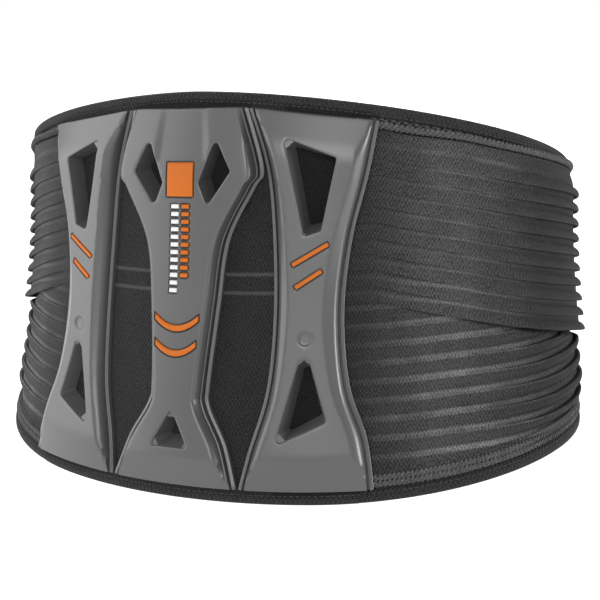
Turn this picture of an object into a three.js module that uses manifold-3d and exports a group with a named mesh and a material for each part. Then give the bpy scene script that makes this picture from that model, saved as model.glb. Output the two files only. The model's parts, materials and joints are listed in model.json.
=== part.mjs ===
// Lumbar support belt, closed around an empty waist, standing on its lower edge.
// Millimetres, +Z up, wearer's back toward -Y, wearer's left side toward -X.
// The wall is described by an arc position s (mm around the waist, 0 at the centre
// of the back, positive toward +X), a height z and an offset h out from the wall.
import * as THREE from 'three';
import { mergeVertices } from 'three/addons/utils/BufferGeometryUtils.js';
import Module from 'manifold-3d';

const wasm = await Module();
wasm.setup();

// ---------- driving dimensions ----------
const HEIGHT = 220;
// wall half width, half depth and forward lean at the bottom, middle and top
const HALF_WIDTH = [195.5, 180, 189];
const HALF_DEPTH = [137, 127.5, 121];
const LEAN = [-27, 0, 15.5];
const CENTER_Y = 20.95;
// the belt narrows toward the front from above, and arches a little at the sides
const FRONT_DROP = 96;
const DROP_POWER = 0.86;
const SIDE_ARCH = 6.4;
const ARCH_START = 0.4;
// facet length along the wall and facet height
const FACET = 14;
const ROW = 32;

// layers, as offsets from the reference wall
const LINING = [-11.2, -10.0];
const FOAM = [-9.5, -5.5];
const SHELL = [-5.0, -3.1];
const UNDER_STRAP = [-2.6, -0.2];
const OVER_STRAP = [0.3, 2.7];
const BINDING = [-5.6, 0.2];
const STAY_BASE = 0.3;
const FLANGE_TOP = 2.0;
const STAY_FACE = [9.3, 11.4];

// extents along the arc
const BACK_HALF = 108.6;
const WING_START = 115;
const WING_END = 298;
const FLAP_START = 306;
const FLAP_OVERLAP = 66;
const FRONT_CENTER = 486;
const TAB_START = 312;
const TAB_END = 388;
const BINDING_HEIGHT = 6.6;
const EDGE_GAP = 0.5;
const WING_BINDING_SLIMMER = 0.8;
const FLAP_BINDING_LAP = 0.4;

// padding behind the back section, as half width along the arc and heights
const FOAM_HALF = 98;
const FOAM_HEIGHTS = [16, 195];
const LINING_HALF = 102;
const LINING_HEIGHTS = [11, 200];
// the two elastics of the back meet at this height, with a seam between them
const ELASTIC_SEAM = 104;
const ELASTIC_SEAM_HALF = 0.3;
const ELASTIC_TOP_GAP = 0.2;

// ribbed elastic straps
const STRAP_WIDTH = 94;
const UPPER_STRAP_TOP = 198;
const UPPER_STRAP_SLOPE = 0.285;
const RAMP_START = 109;
const RAMP_END = 130;
const LOWER_STRAP_RISE = 1;
const LOWER_STRAP_TOP = 97;

const COLORS = {
  stay: 0x7b7c7e,
  knit: 0x2e2f31,
  ribbed: 0x3a3b3e,
  binding: 0x232427,
  lining: 0x36373a,
  foam: 0x55565a,
  hook: 0x1c1d1f,
  orange: 0xf08020,
  white: 0xe9e9e6,
};

// ---------- the wall ----------
// value at fraction t of the height, through the bottom, middle and top values
function throughThree(values, t) {
  const bottom = values[0] * (1 - t) * (1 - 2 * t);
  const middle = values[1] * 4 * t * (1 - t);
  const top = values[2] * t * (2 * t - 1);
  return bottom + middle + top;
}

const ARC_STEP = 0.002;
const ARC_TABLE = [0];
for (let angle = 0; angle < 1.5 * Math.PI; angle += ARC_STEP) {
  const middle = angle + ARC_STEP / 2;
  const dx = HALF_WIDTH[1] * Math.cos(middle);
  const dy = HALF_DEPTH[1] * Math.sin(middle);
  ARC_TABLE.push(ARC_TABLE[ARC_TABLE.length - 1] + Math.hypot(dx, dy) * ARC_STEP);
}

// angle around the waist at arc position s, measured at mid height
function angleAt(s) {
  const target = Math.abs(s);
  let low = 0;
  let high = ARC_TABLE.length - 1;
  while (high - low > 1) {
    const middle = (low + high) >> 1;
    if (ARC_TABLE[middle] <= target) low = middle;
    else high = middle;
  }
  const part = (target - ARC_TABLE[low]) / (ARC_TABLE[high] - ARC_TABLE[low]);
  return Math.sign(s) * (low + part) * ARC_STEP;
}

// point on the wall at arc position s and height z, moved h outward
function wallPoint(s, z, h) {
  const angle = angleAt(s);
  const t = z / HEIGHT;
  const a = throughThree(HALF_WIDTH, t);
  const b = throughThree(HALF_DEPTH, t);
  const nx = b * Math.sin(angle);
  const ny = -a * Math.cos(angle);
  const n = Math.hypot(nx, ny);
  const x = a * Math.sin(angle) + (h * nx) / n;
  const y = -b * Math.cos(angle) + throughThree(LEAN, t) + (h * ny) / n + CENTER_Y;
  return new THREE.Vector3(x, y, z);
}

function topEdge(s) {
  const share = (1 - Math.cos(angleAt(s))) / 2;
  return HEIGHT - FRONT_DROP * Math.pow(share, DROP_POWER);
}

function bottomEdge(s) {
  const side = Math.abs(Math.sin(angleAt(s)));
  const share = Math.max(0, side - ARCH_START) / (1 - ARCH_START);
  return SIDE_ARCH * share * share;
}

// height inside the bindings
function panelTop(s) {
  return topEdge(s) - BINDING_HEIGHT - EDGE_GAP;
}

function panelBottom(s) {
  return bottomEdge(s) + BINDING_HEIGHT + EDGE_GAP;
}

function upperStrapTop(s) {
  const run = Math.max(0, Math.abs(s) - BACK_HALF);
  return UPPER_STRAP_TOP - UPPER_STRAP_SLOPE * run;
}

function upperStrapBottom(s) {
  return upperStrapTop(s) - STRAP_WIDTH;
}

function lowerStrapBottom(s) {
  return panelBottom(s) + LOWER_STRAP_RISE;
}

function lowerStrapTop(s) {
  return Math.min(LOWER_STRAP_TOP, lowerStrapBottom(s) + STRAP_WIDTH);
}

// ---------- geometry helpers ----------
const asFunction = (value) => (typeof value === 'function' ? value : () => value);

// arc positions from s0 to s1 at the shared facet grid, so layers stay parallel
function knots(s0, s1) {
  const list = [s0];
  const first = Math.ceil(s0 / FACET + 0.25);
  for (let k = first; k * FACET < s1 - FACET * 0.25; k += 1) list.push(k * FACET);
  list.push(s1);
  return list;
}

function cleaned(geometry) {
  geometry.deleteAttribute('normal');
  geometry.deleteAttribute('uv');
  return mergeVertices(geometry, 1e-4);
}

// a sheet of the wall between two arc positions, two edges and two offsets
function bentPanel({ s0, s1, low, high, inner, outer, row = ROW }) {
  const grid = knots(s0, s1);
  const lowAt = asFunction(low);
  const highAt = asFunction(high);
  const innerAt = asFunction(inner);
  const outerAt = asFunction(outer);
  const tallest = highAt((s0 + s1) / 2) - lowAt((s0 + s1) / 2);
  const rows = Math.max(1, Math.round(tallest / row));
  const geometry = cleaned(new THREE.BoxGeometry(1, 1, 1, grid.length - 1, 1, rows));
  const position = geometry.attributes.position;
  for (let i = 0; i < position.count; i += 1) {
    const s = grid[Math.round((position.getX(i) + 0.5) * (grid.length - 1))];
    const z = THREE.MathUtils.lerp(lowAt(s), highAt(s), position.getZ(i) + 0.5);
    const h = position.getY(i) < 0 ? outerAt(s, z) : innerAt(s, z);
    const p = wallPoint(s, z, h);
    position.setXYZ(i, p.x, p.y, p.z);
  }
  return geometry;
}

const MITRE_LIMIT = 2.4;

// outline moved inward by a distance along its corner bisectors
function inset(outline, distance) {
  const count = outline.length;
  return outline.map((p, i) => {
    const before = outline[(i + count - 1) % count];
    const after = outline[(i + 1) % count];
    const n0 = new THREE.Vector2(before.y - p.y, p.x - before.x).normalize();
    const n1 = new THREE.Vector2(p.y - after.y, after.x - p.x).normalize();
    const bisector = n0.clone().add(n1).normalize();
    const reach = Math.min(MITRE_LIMIT, 1 / Math.max(0.1, bisector.dot(n1)));
    return p.clone().addScaledVector(bisector, distance * reach);
  });
}

const counterClockwise = (outline) =>
  (THREE.ShapeUtils.isClockWise(outline) ? outline.slice().reverse() : outline);

// how many parts each edge of a closed outline is divided into
function edgeParts(outline, step) {
  const next = (i) => outline[(i + 1) % outline.length];
  return outline.map((p, i) => Math.max(1, Math.round(p.distanceTo(next(i)) / step)));
}

function densified(outline, parts) {
  const points = [];
  outline.forEach((p, i) => {
    const q = outline[(i + 1) % outline.length];
    for (let k = 0; k < parts[i]; k += 1) points.push(p.clone().lerp(q, k / parts[i]));
  });
  return points;
}

function nearest(points, target) {
  const distances = points.map((p) => p.distanceTo(target));
  return distances.indexOf(Math.min(...distances));
}

// a prism through the wall over an outline in (s, z), with a list of levels, each an
// offset h and an inset; corners are moved first, and every level is divided alike
function bentPrism(corners, levels, step = 9) {
  const outline = counterClockwise(corners);
  const parts = edgeParts(outline, step);
  const rings = levels.map(([, distance]) => densified(inset(outline, distance), parts));
  const steps = levels.length - 1;
  const options = { depth: steps, steps, bevelEnabled: false };
  const geometry = cleaned(new THREE.ExtrudeGeometry(new THREE.Shape(rings[0]), options));
  const position = geometry.attributes.position;
  for (let i = 0; i < position.count; i += 1) {
    const level = Math.round(position.getZ(i));
    const flat = new THREE.Vector2(position.getX(i), position.getY(i));
    const at = rings[level][nearest(rings[0], flat)];
    const h = asFunction(levels[level][0])(at.x, at.y);
    const p = wallPoint(at.x, at.y, h);
    position.setXYZ(i, p.x, p.y, p.z);
  }
  return geometry;
}

function toSolid(geometry) {
  const position = geometry.attributes.position;
  const vertProperties = new Float32Array(position.array);
  const triVerts = new Uint32Array(geometry.index.array);
  return new wasm.Manifold(new wasm.Mesh({ numProp: 3, vertProperties, triVerts }));
}

function toGeometry(solid) {
  const mesh = solid.getMesh();
  const geometry = new THREE.BufferGeometry();
  const position = new THREE.BufferAttribute(new Float32Array(mesh.vertProperties), 3);
  geometry.setAttribute('position', position);
  geometry.setIndex(new THREE.BufferAttribute(new Uint32Array(mesh.triVerts), 1));
  return geometry;
}

const point = (s, z) => new THREE.Vector2(s, z);

// smooth run through control points
function smooth(points, divisions) {
  return new THREE.SplineCurve(points).getSpacedPoints(divisions);
}

// straight bar between two points with a given width
function barOutline(from, to, width) {
  const along = to.clone().sub(from).normalize();
  const side = new THREE.Vector2(-along.y, along.x).multiplyScalar(width / 2);
  const corners = [
    from.clone().sub(side),
    to.clone().sub(side),
    to.clone().add(side),
    from.clone().add(side),
  ];
  return corners;
}

// curved band hanging below its two ends
function bandOutline(halfSpan, endZ, middleZ, width) {
  const upper = [];
  const lower = [];
  const parts = 6;
  for (let i = 0; i <= parts; i += 1) {
    const u = (i / parts) * 2 - 1;
    const z = middleZ + (endZ - middleZ) * u * u;
    lower.push(point(u * halfSpan, z - width / 2));
    upper.unshift(point(u * halfSpan, z + width / 2));
  }
  return lower.concat(upper);
}

const mirrored = (outline) => outline.map((p) => point(-p.x, p.y)).reverse();

const faceHeight = (s, z) => THREE.MathUtils.lerp(STAY_FACE[0], STAY_FACE[1], z / HEIGHT);

// ---------- the three moulded stays ----------
const STAY_EDGE = 0.7;
const STAY_FOOT = 8;
const SLAB_MARGIN = 6;
const SLAB_HEIGHTS = [2, 216];

function centerStayOutline() {
  const right = smooth(
    [
      point(37, 9),
      point(30, 31),
      point(19.5, 50),
      point(18.5, 62),
      point(22.5, 105),
      point(27, 140),
      point(41, 168),
      point(45.5, 178),
      point(35.5, panelTop(36) - STAY_EDGE),
    ],
    18,
  );
  const left = right.map((p) => point(-p.x, p.y)).reverse();
  const outline = right.concat(left);
  return outline.concat([point(-18, STAY_FOOT), point(0, STAY_FOOT), point(18, STAY_FOOT)]);
}

function sideStayOutline() {
  const top = (s) => panelTop(s) - STAY_EDGE;
  const outer = smooth(
    [
      point(108, 8.6),
      point(105, 34),
      point(96, 62),
      point(92.5, 100),
      point(95.5, 138),
      point(102.5, 172),
      point(106, top(106)),
    ],
    16,
  );
  const inner = smooth(
    [
      point(37, top(37)),
      point(47.5, 178),
      point(52.3, 144),
      point(54.5, 100),
      point(52, 60),
      point(43, 27),
      point(39, 8.4),
    ],
    16,
  );
  const across = [point(83, top(83)), point(60, top(60))];
  return outer.concat(across, inner, [point(62, STAY_FOOT), point(85, STAY_FOOT)]);
}

const CENTER_WINDOW = [point(11.5, 171.5), point(17.5, 160.5), point(28, 178), point(20, 195.5)];
const CENTER_TRIANGLE = [point(-11, 30), point(11, 30), point(0, 49)];
const SIDE_WINDOW_TOP = [point(73, 142.5), point(86, 182), point(57, 194)];
const SIDE_WINDOW_LOW = [point(58.5, 35), point(84, 45.5), point(72.5, 77)];
// offsets safely below the base and above the face, where the cutting prisms end
const BENEATH = -14;
const BEYOND = 30;
const WINDOW_BEVEL = 3.4;
const FLANGE_REACH = 3;
const FLANK_BEVEL = 6;
const WINDOW_LEVELS = [
  [BENEATH, WINDOW_BEVEL],
  [STAY_BASE, WINDOW_BEVEL],
  [STAY_FACE[1], 0],
  [BEYOND, 0],
];
const FLANK_LEVELS = [
  [BENEATH, FLANGE_REACH],
  [STAY_BASE, FLANGE_REACH],
  [STAY_FACE[1], FLANK_BEVEL],
  [BEYOND, FLANK_BEVEL],
];
const FLANGE_LEVELS = [[BENEATH, 0], [BEYOND, 0]];

const SIDE_BARS = [
  [point(65, 127.5), point(83.5, 138)],
  [point(67, 115.5), point(80.5, 124)],
];
const BAR_WIDTH = 3.4;
const CHEVRONS = [
  [13.6, 99, 93],
  [12.6, 85, 79.5],
];
const CHEVRON_WIDTH = 3.8;
const BADGE = [point(-8, 164.5), point(8, 164.5), point(8, 183), point(-8, 183)];
const STRIP_WHITE = [point(-5, 160.5), point(-1.2, 160.5), point(-1.2, 112), point(-5, 112)];
const STRIP_ORANGE = [point(1.4, 160.5), point(5.8, 160.5), point(5.8, 112), point(1.4, 112)];
const POCKET_DEPTH = 1.0;
const INLAY_GAP = 0.35;
const INLAY_PROUD = 0.5;

const inlayBottom = (s, z) => faceHeight(s, z) - POCKET_DEPTH + INLAY_GAP;
const inlayTop = (s, z) => faceHeight(s, z) + INLAY_PROUD;
const pocketBottom = (s, z) => faceHeight(s, z) - POCKET_DEPTH;

function inlay(outline) {
  return bentPrism(outline, [[inlayBottom, 0], [inlayTop, 0]]);
}

function pocket(outline) {
  return toSolid(bentPrism(outline, [[pocketBottom, -INLAY_GAP], [BEYOND, -INLAY_GAP]]));
}

// flange and raised body, less the bevelled windows and the inlay pockets
function stay(outline, windows, inlays) {
  const ring = counterClockwise(outline);
  const across = ring.map((p) => p.x);
  const s0 = Math.min(...across) - SLAB_MARGIN;
  const s1 = Math.max(...across) + SLAB_MARGIN;
  const [low, high] = SLAB_HEIGHTS;
  const slab = (outer) => toSolid(bentPanel({ s0, s1, low, high, inner: STAY_BASE, outer }));
  const flange = slab(FLANGE_TOP).intersect(toSolid(bentPrism(ring, FLANGE_LEVELS)));
  const flank = toSolid(bentPrism(ring, FLANK_LEVELS));
  let solid = flange.add(slab(faceHeight).intersect(flank));
  windows.forEach((window) => {
    solid = solid.subtract(toSolid(bentPrism(window, WINDOW_LEVELS)));
  });
  inlays.forEach((outlined) => {
    solid = solid.subtract(pocket(outlined));
  });
  return toGeometry(solid);
}

// ---------- materials and scene graph ----------
const LOOKS = {
  stay: { roughness: 0.42, metalness: 0.1 },
  knit: { roughness: 0.95, metalness: 0 },
  ribbed: { roughness: 0.85, metalness: 0 },
  binding: { roughness: 0.8, metalness: 0 },
  lining: { roughness: 0.95, metalness: 0 },
  foam: { roughness: 0.9, metalness: 0 },
  hook: { roughness: 0.9, metalness: 0 },
  orange: { roughness: 0.45, metalness: 0 },
  white: { roughness: 0.45, metalness: 0 },
};

const belt = new THREE.Group();

function addPiece(parent, name, look, geometry) {
  geometry.computeVertexNormals();
  const material = new THREE.MeshStandardMaterial({ color: COLORS[look], ...LOOKS[look] });
  const mesh = new THREE.Mesh(geometry, material);
  mesh.name = name;
  parent.add(mesh);
}

// ---------- back section ----------
function addBack(parent) {
  const span = { s0: -BACK_HALF, s1: BACK_HALF };
  addPiece(parent, 'back_shell', 'knit', bentPanel({
    ...span, low: panelBottom, high: panelTop, inner: SHELL[0], outer: SHELL[1],
  }));
  addPiece(parent, 'back_foam', 'foam', bentPanel({
    s0: -FOAM_HALF, s1: FOAM_HALF, low: FOAM_HEIGHTS[0], high: FOAM_HEIGHTS[1],
    inner: FOAM[0], outer: FOAM[1],
  }));
  addPiece(parent, 'back_lining', 'lining', bentPanel({
    s0: -LINING_HALF, s1: LINING_HALF, low: LINING_HEIGHTS[0], high: LINING_HEIGHTS[1],
    inner: LINING[0], outer: LINING[1],
  }));
  addPiece(parent, 'back_top_binding', 'binding', bentPanel({
    ...span, low: (s) => topEdge(s) - BINDING_HEIGHT, high: topEdge,
    inner: BINDING[0], outer: BINDING[1],
  }));
  addPiece(parent, 'back_bottom_binding', 'binding', bentPanel({
    ...span, low: bottomEdge, high: (s) => bottomEdge(s) + BINDING_HEIGHT,
    inner: BINDING[0], outer: BINDING[1],
  }));
  addPiece(parent, 'back_elastic_upper', 'ribbed', bentPanel({
    ...span, low: ELASTIC_SEAM + ELASTIC_SEAM_HALF, high: (s) => panelTop(s) - ELASTIC_TOP_GAP,
    inner: UNDER_STRAP[0], outer: UNDER_STRAP[1],
  }));
  addPiece(parent, 'back_elastic_lower', 'ribbed', bentPanel({
    ...span, low: lowerStrapBottom, high: ELASTIC_SEAM - ELASTIC_SEAM_HALF,
    inner: UNDER_STRAP[0], outer: UNDER_STRAP[1],
  }));
}

function addStays(parent) {
  const chevrons = CHEVRONS.map(([half, end, middle]) =>
    bandOutline(half, end, middle, CHEVRON_WIDTH));
  const centerWindows = [CENTER_WINDOW, mirrored(CENTER_WINDOW), CENTER_TRIANGLE];
  const centerInlays = [...chevrons, BADGE, STRIP_WHITE, STRIP_ORANGE];
  addPiece(parent, 'center_stay', 'stay', stay(centerStayOutline(), centerWindows, centerInlays));
  addPiece(parent, 'chevron_upper', 'orange', inlay(chevrons[0]));
  addPiece(parent, 'chevron_lower', 'orange', inlay(chevrons[1]));
  addPiece(parent, 'center_badge', 'orange', inlay(BADGE));
  addPiece(parent, 'center_strip_light', 'white', inlay(STRIP_WHITE));
  addPiece(parent, 'center_strip_orange', 'orange', inlay(STRIP_ORANGE));

  const bars = SIDE_BARS.map(([from, to]) => barOutline(from, to, BAR_WIDTH));
  const sideWindows = [SIDE_WINDOW_TOP, SIDE_WINDOW_LOW];
  const sides = [
    ['right', (outline) => outline],
    ['left', mirrored],
  ];
  sides.forEach(([side, place]) => {
    const outline = place(sideStayOutline());
    const windows = sideWindows.map(place);
    const inlays = bars.map(place);
    addPiece(parent, `${side}_stay`, 'stay', stay(outline, windows, inlays));
    addPiece(parent, `${side}_bar_upper`, 'orange', inlay(inlays[0]));
    addPiece(parent, `${side}_bar_lower`, 'orange', inlay(inlays[1]));
  });
}

// ---------- side wings with their two crossing elastic straps ----------
// a run of the wall on one side: positive is the +X side, negative the -X side
function onSide(sign, from, to) {
  return sign > 0 ? { s0: from, s1: to } : { s0: -to, s1: -from };
}

// the upper strap climbs onto the lower one as it leaves the back
function ramp(s, start, end) {
  return THREE.MathUtils.smoothstep(Math.abs(s), start, end);
}

function overStrap(side) {
  return (s) =>
    THREE.MathUtils.lerp(UNDER_STRAP[side], OVER_STRAP[side], ramp(s, RAMP_START, RAMP_END));
}

function addWing(parent, side, sign) {
  const span = onSide(sign, WING_START, WING_END);
  addPiece(parent, `${side}_wing_panel`, 'knit', bentPanel({
    ...span, low: panelBottom, high: panelTop, inner: SHELL[0], outer: SHELL[1],
  }));
  addPiece(parent, `${side}_wing_top_binding`, 'binding', bentPanel({
    ...span, low: (s) => topEdge(s) - BINDING_HEIGHT, high: topEdge,
    inner: BINDING[0], outer: BINDING[1] - WING_BINDING_SLIMMER,
  }));
  addPiece(parent, `${side}_wing_bottom_binding`, 'binding', bentPanel({
    ...span, low: bottomEdge, high: (s) => bottomEdge(s) + BINDING_HEIGHT,
    inner: BINDING[0], outer: BINDING[1] - WING_BINDING_SLIMMER,
  }));
  addPiece(parent, `${side}_lower_strap`, 'ribbed', bentPanel({
    ...span, low: lowerStrapBottom, high: lowerStrapTop,
    inner: UNDER_STRAP[0], outer: UNDER_STRAP[1],
  }));
  addPiece(parent, `${side}_upper_strap`, 'ribbed', bentPanel({
    ...span, low: upperStrapBottom, high: upperStrapTop, inner: overStrap(0), outer: overStrap(1),
  }));
}

// ---------- front closure ----------
// the +X flap lies outside, the -X flap tucks under it
const TUCK_START = 320;
const TUCK_END = 404;
const TUCK_DEPTH = 5;

function tuck(offset, sign) {
  if (sign > 0) return offset;
  return (s) => offset - TUCK_DEPTH * ramp(s, TUCK_START, TUCK_END);
}

function addFlap(parent, side, sign) {
  const end = FRONT_CENTER + FLAP_OVERLAP;
  const span = onSide(sign, FLAP_START, end - BINDING_HEIGHT - EDGE_GAP);
  const layer = (range) => ({ inner: tuck(range[0], sign), outer: tuck(range[1], sign) });
  const edging = layer([SHELL[0] - FLAP_BINDING_LAP, SHELL[1] + FLAP_BINDING_LAP]);
  addPiece(parent, `${side}_flap_panel`, 'knit', bentPanel({
    ...span, low: panelBottom, high: panelTop, ...layer(SHELL),
  }));
  addPiece(parent, `${side}_flap_top_binding`, 'binding', bentPanel({
    ...span, low: (s) => topEdge(s) - BINDING_HEIGHT, high: topEdge, ...edging,
  }));
  addPiece(parent, `${side}_flap_bottom_binding`, 'binding', bentPanel({
    ...span, low: bottomEdge, high: (s) => bottomEdge(s) + BINDING_HEIGHT, ...edging,
  }));
  addPiece(parent, `${side}_flap_end_binding`, 'binding', bentPanel({
    ...onSide(sign, end - BINDING_HEIGHT, end), low: bottomEdge, high: topEdge, ...edging,
  }));
}

// hook patch inside the outer flap, loop patch outside the inner flap
const HOOK_THICKNESS = 0.8;
const LOOP_THICKNESS = 0.4;
const PATCH_GAP = 0.4;
// reach of each patch before and past the front centre, and its heights
const HOOK_REACH = [44, 52];
const HOOK_HEIGHTS = [16, 106];
const LOOP_REACH = [70, 54];
const LOOP_HEIGHTS = [14, 108];

function addClosure(rightFlap, leftFlap) {
  const hookOuter = SHELL[0] - PATCH_GAP;
  addPiece(rightFlap, 'right_flap_hook', 'hook', bentPanel({
    s0: FRONT_CENTER - HOOK_REACH[0], s1: FRONT_CENTER + HOOK_REACH[1],
    low: HOOK_HEIGHTS[0], high: HOOK_HEIGHTS[1],
    inner: hookOuter - HOOK_THICKNESS, outer: hookOuter,
  }));
  const loopInner = SHELL[1] + PATCH_GAP;
  addPiece(leftFlap, 'left_flap_loop', 'lining', bentPanel({
    s0: -FRONT_CENTER - LOOP_REACH[1], s1: -FRONT_CENTER + LOOP_REACH[0],
    low: LOOP_HEIGHTS[0], high: LOOP_HEIGHTS[1],
    inner: tuck(loopInner, -1), outer: tuck(loopInner + LOOP_THICKNESS, -1),
  }));
}

// pull tab joining both straps of one side, with a hook patch beneath it
const TAB_MIDDLE = 68;
const TAB_ROOT_HALF = 48;
const TAB_TIP_HALF = 30;
const TAB_DROP = 6;
const TAB_LAYER = [-1.0, 1.4];
const TAB_HOOK_LAYER = [-2.5, -1.5];
const TAB_HOOK_ENDS = [12, 14];
const TAB_HOOK_MARGIN = 8;

function addTab(parent, side, sign) {
  const share = (s) => (Math.abs(s) - TAB_START) / (TAB_END - TAB_START);
  const half = (s) => THREE.MathUtils.lerp(TAB_ROOT_HALF, TAB_TIP_HALF, share(s));
  const middle = (s) => TAB_MIDDLE - TAB_DROP * share(s);
  addPiece(parent, `${side}_tab`, 'knit', bentPanel({
    ...onSide(sign, TAB_START, TAB_END),
    low: (s) => middle(s) - half(s), high: (s) => middle(s) + half(s),
    inner: tuck(TAB_LAYER[0], sign), outer: tuck(TAB_LAYER[1], sign),
  }));
  addPiece(parent, `${side}_tab_hook`, 'hook', bentPanel({
    ...onSide(sign, TAB_START + TAB_HOOK_ENDS[0], TAB_END - TAB_HOOK_ENDS[1]),
    low: (s) => middle(s) - half(s) + TAB_HOOK_MARGIN,
    high: (s) => middle(s) + half(s) - TAB_HOOK_MARGIN,
    inner: tuck(TAB_HOOK_LAYER[0], sign), outer: tuck(TAB_HOOK_LAYER[1], sign),
  }));
}

const back = new THREE.Group();
belt.add(back);
addBack(back);
addStays(back);
const flaps = {};
[['right', 1], ['left', -1]].forEach(([side, sign]) => {
  const wing = new THREE.Group();
  belt.add(wing);
  addWing(wing, side, sign);
  flaps[side] = new THREE.Group();
  wing.add(flaps[side]);
  addFlap(flaps[side], side, sign);
  addTab(flaps[side], side, sign);
});
addClosure(flaps.right, flaps.left);

export default belt;
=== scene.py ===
import json
import math

import bpy
import numpy as np
from mathutils import Matrix, Vector
from mathutils.geometry import delaunay_2d_cdt

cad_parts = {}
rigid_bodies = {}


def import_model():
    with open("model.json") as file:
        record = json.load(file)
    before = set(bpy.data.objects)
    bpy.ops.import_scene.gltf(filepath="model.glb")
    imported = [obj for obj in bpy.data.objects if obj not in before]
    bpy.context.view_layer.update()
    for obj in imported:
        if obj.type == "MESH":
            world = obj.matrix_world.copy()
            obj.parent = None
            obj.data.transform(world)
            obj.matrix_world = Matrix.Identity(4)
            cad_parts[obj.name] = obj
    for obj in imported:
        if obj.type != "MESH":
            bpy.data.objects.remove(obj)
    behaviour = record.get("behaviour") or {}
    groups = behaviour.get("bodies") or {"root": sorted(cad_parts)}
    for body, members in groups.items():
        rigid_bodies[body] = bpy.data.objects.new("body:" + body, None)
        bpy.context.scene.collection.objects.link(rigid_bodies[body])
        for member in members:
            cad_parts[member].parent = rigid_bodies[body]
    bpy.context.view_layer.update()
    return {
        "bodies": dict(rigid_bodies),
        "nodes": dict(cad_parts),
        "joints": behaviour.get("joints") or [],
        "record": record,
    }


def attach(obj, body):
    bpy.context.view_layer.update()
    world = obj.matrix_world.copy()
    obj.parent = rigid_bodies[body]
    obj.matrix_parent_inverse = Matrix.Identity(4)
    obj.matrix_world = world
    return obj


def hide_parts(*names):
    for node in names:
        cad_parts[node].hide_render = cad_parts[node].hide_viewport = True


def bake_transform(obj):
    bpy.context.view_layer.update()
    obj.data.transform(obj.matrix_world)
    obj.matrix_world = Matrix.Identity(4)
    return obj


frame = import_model()

MM = 0.001

# ---------- the wall the belt is built on, in millimetres ----------
HEIGHT = 220.0
HALF_WIDTH = (195.5, 180.0, 189.0)
HALF_DEPTH = (137.0, 127.5, 121.0)
LEAN = (-27.0, 0.0, 15.5)
CENTER_Y = 20.95
FRONT_DROP = 96.0
DROP_POWER = 0.86
SIDE_ARCH = 6.4
ARCH_START = 0.4
BACK_HALF = 108.6
BINDING_HEIGHT = 6.6
FRONT_CENTER = 486.0
FLAP_END = FRONT_CENTER + 66.0
STRAP_WIDTH = 94.0
TUCK_DEPTH = 5.0


def through_three(values, t):
    low, middle, high = values
    return low * (1 - t) * (1 - 2 * t) + middle * 4 * t * (1 - t) + high * t * (2 * t - 1)


ANGLES = np.linspace(0.0, 1.5 * math.pi, 4001)
STEPS = np.hypot(HALF_WIDTH[1] * np.cos(ANGLES), HALF_DEPTH[1] * np.sin(ANGLES))
ARCS = np.concatenate([[0.0], np.cumsum((STEPS[1:] + STEPS[:-1]) / 2 * np.diff(ANGLES))])


def angle_at(s):
    s = np.asarray(s, float)
    return np.sign(s) * np.interp(np.abs(s), ARCS, ANGLES)


def wall(s, z, h):
    """Points in metres at arc position s, height z and outward offset h, all in millimetres."""
    s, z, h = np.broadcast_arrays(np.asarray(s, float), np.asarray(z, float), np.asarray(h, float))
    angle = angle_at(s)
    t = z / HEIGHT
    a = through_three(HALF_WIDTH, t)
    b = through_three(HALF_DEPTH, t)
    nx, ny = b * np.sin(angle), -a * np.cos(angle)
    n = np.hypot(nx, ny)
    x = a * np.sin(angle) + h * nx / n
    y = -b * np.cos(angle) + through_three(LEAN, t) + CENTER_Y + h * ny / n
    return np.stack([x, y, z], axis=-1) * MM


def smooth_step(x, start, end):
    t = np.clip((np.asarray(x, float) - start) / (end - start), 0, 1)
    return t * t * (3 - 2 * t)


def top_edge(s):
    return HEIGHT - FRONT_DROP * ((1 - np.cos(angle_at(s))) / 2) ** DROP_POWER


def bottom_edge(s):
    side = np.abs(np.sin(angle_at(s)))
    return SIDE_ARCH * (np.maximum(0, side - ARCH_START) / (1 - ARCH_START)) ** 2


def upper_strap_line(s):
    return 198.0 - 0.285 * np.maximum(0, np.abs(s) - BACK_HALF)


def upper_strap_top(s):
    return upper_strap_line(s) - 3.2 * (1 - smooth_step(np.abs(s), BACK_HALF, 160))


def upper_strap_bottom(s):
    return upper_strap_line(s) - STRAP_WIDTH + 0.5


# ---------- mesh helpers ----------
SHARP_ANGLE = 46


def new_object(name, points, faces, uvs, material):
    mesh = bpy.data.meshes.new(name)
    mesh.from_pydata([tuple(p) for p in np.asarray(points).reshape(-1, 3)], [], faces)
    mesh.update()
    if uvs is not None:
        layer = mesh.uv_layers.new(name="UVMap")
        index = np.empty(len(mesh.loops), np.int32)
        mesh.loops.foreach_get("vertex_index", index)
        layer.data.foreach_set("uv", np.asarray(uvs, np.float32)[index].ravel())
    mesh.polygons.foreach_set("use_smooth", np.ones(len(mesh.polygons), bool))
    mesh.set_sharp_from_angle(angle=math.radians(SHARP_ANGLE))
    mesh.materials.append(material)
    obj = bpy.data.objects.new(name, mesh)
    bpy.context.scene.collection.objects.link(obj)
    return obj


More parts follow.
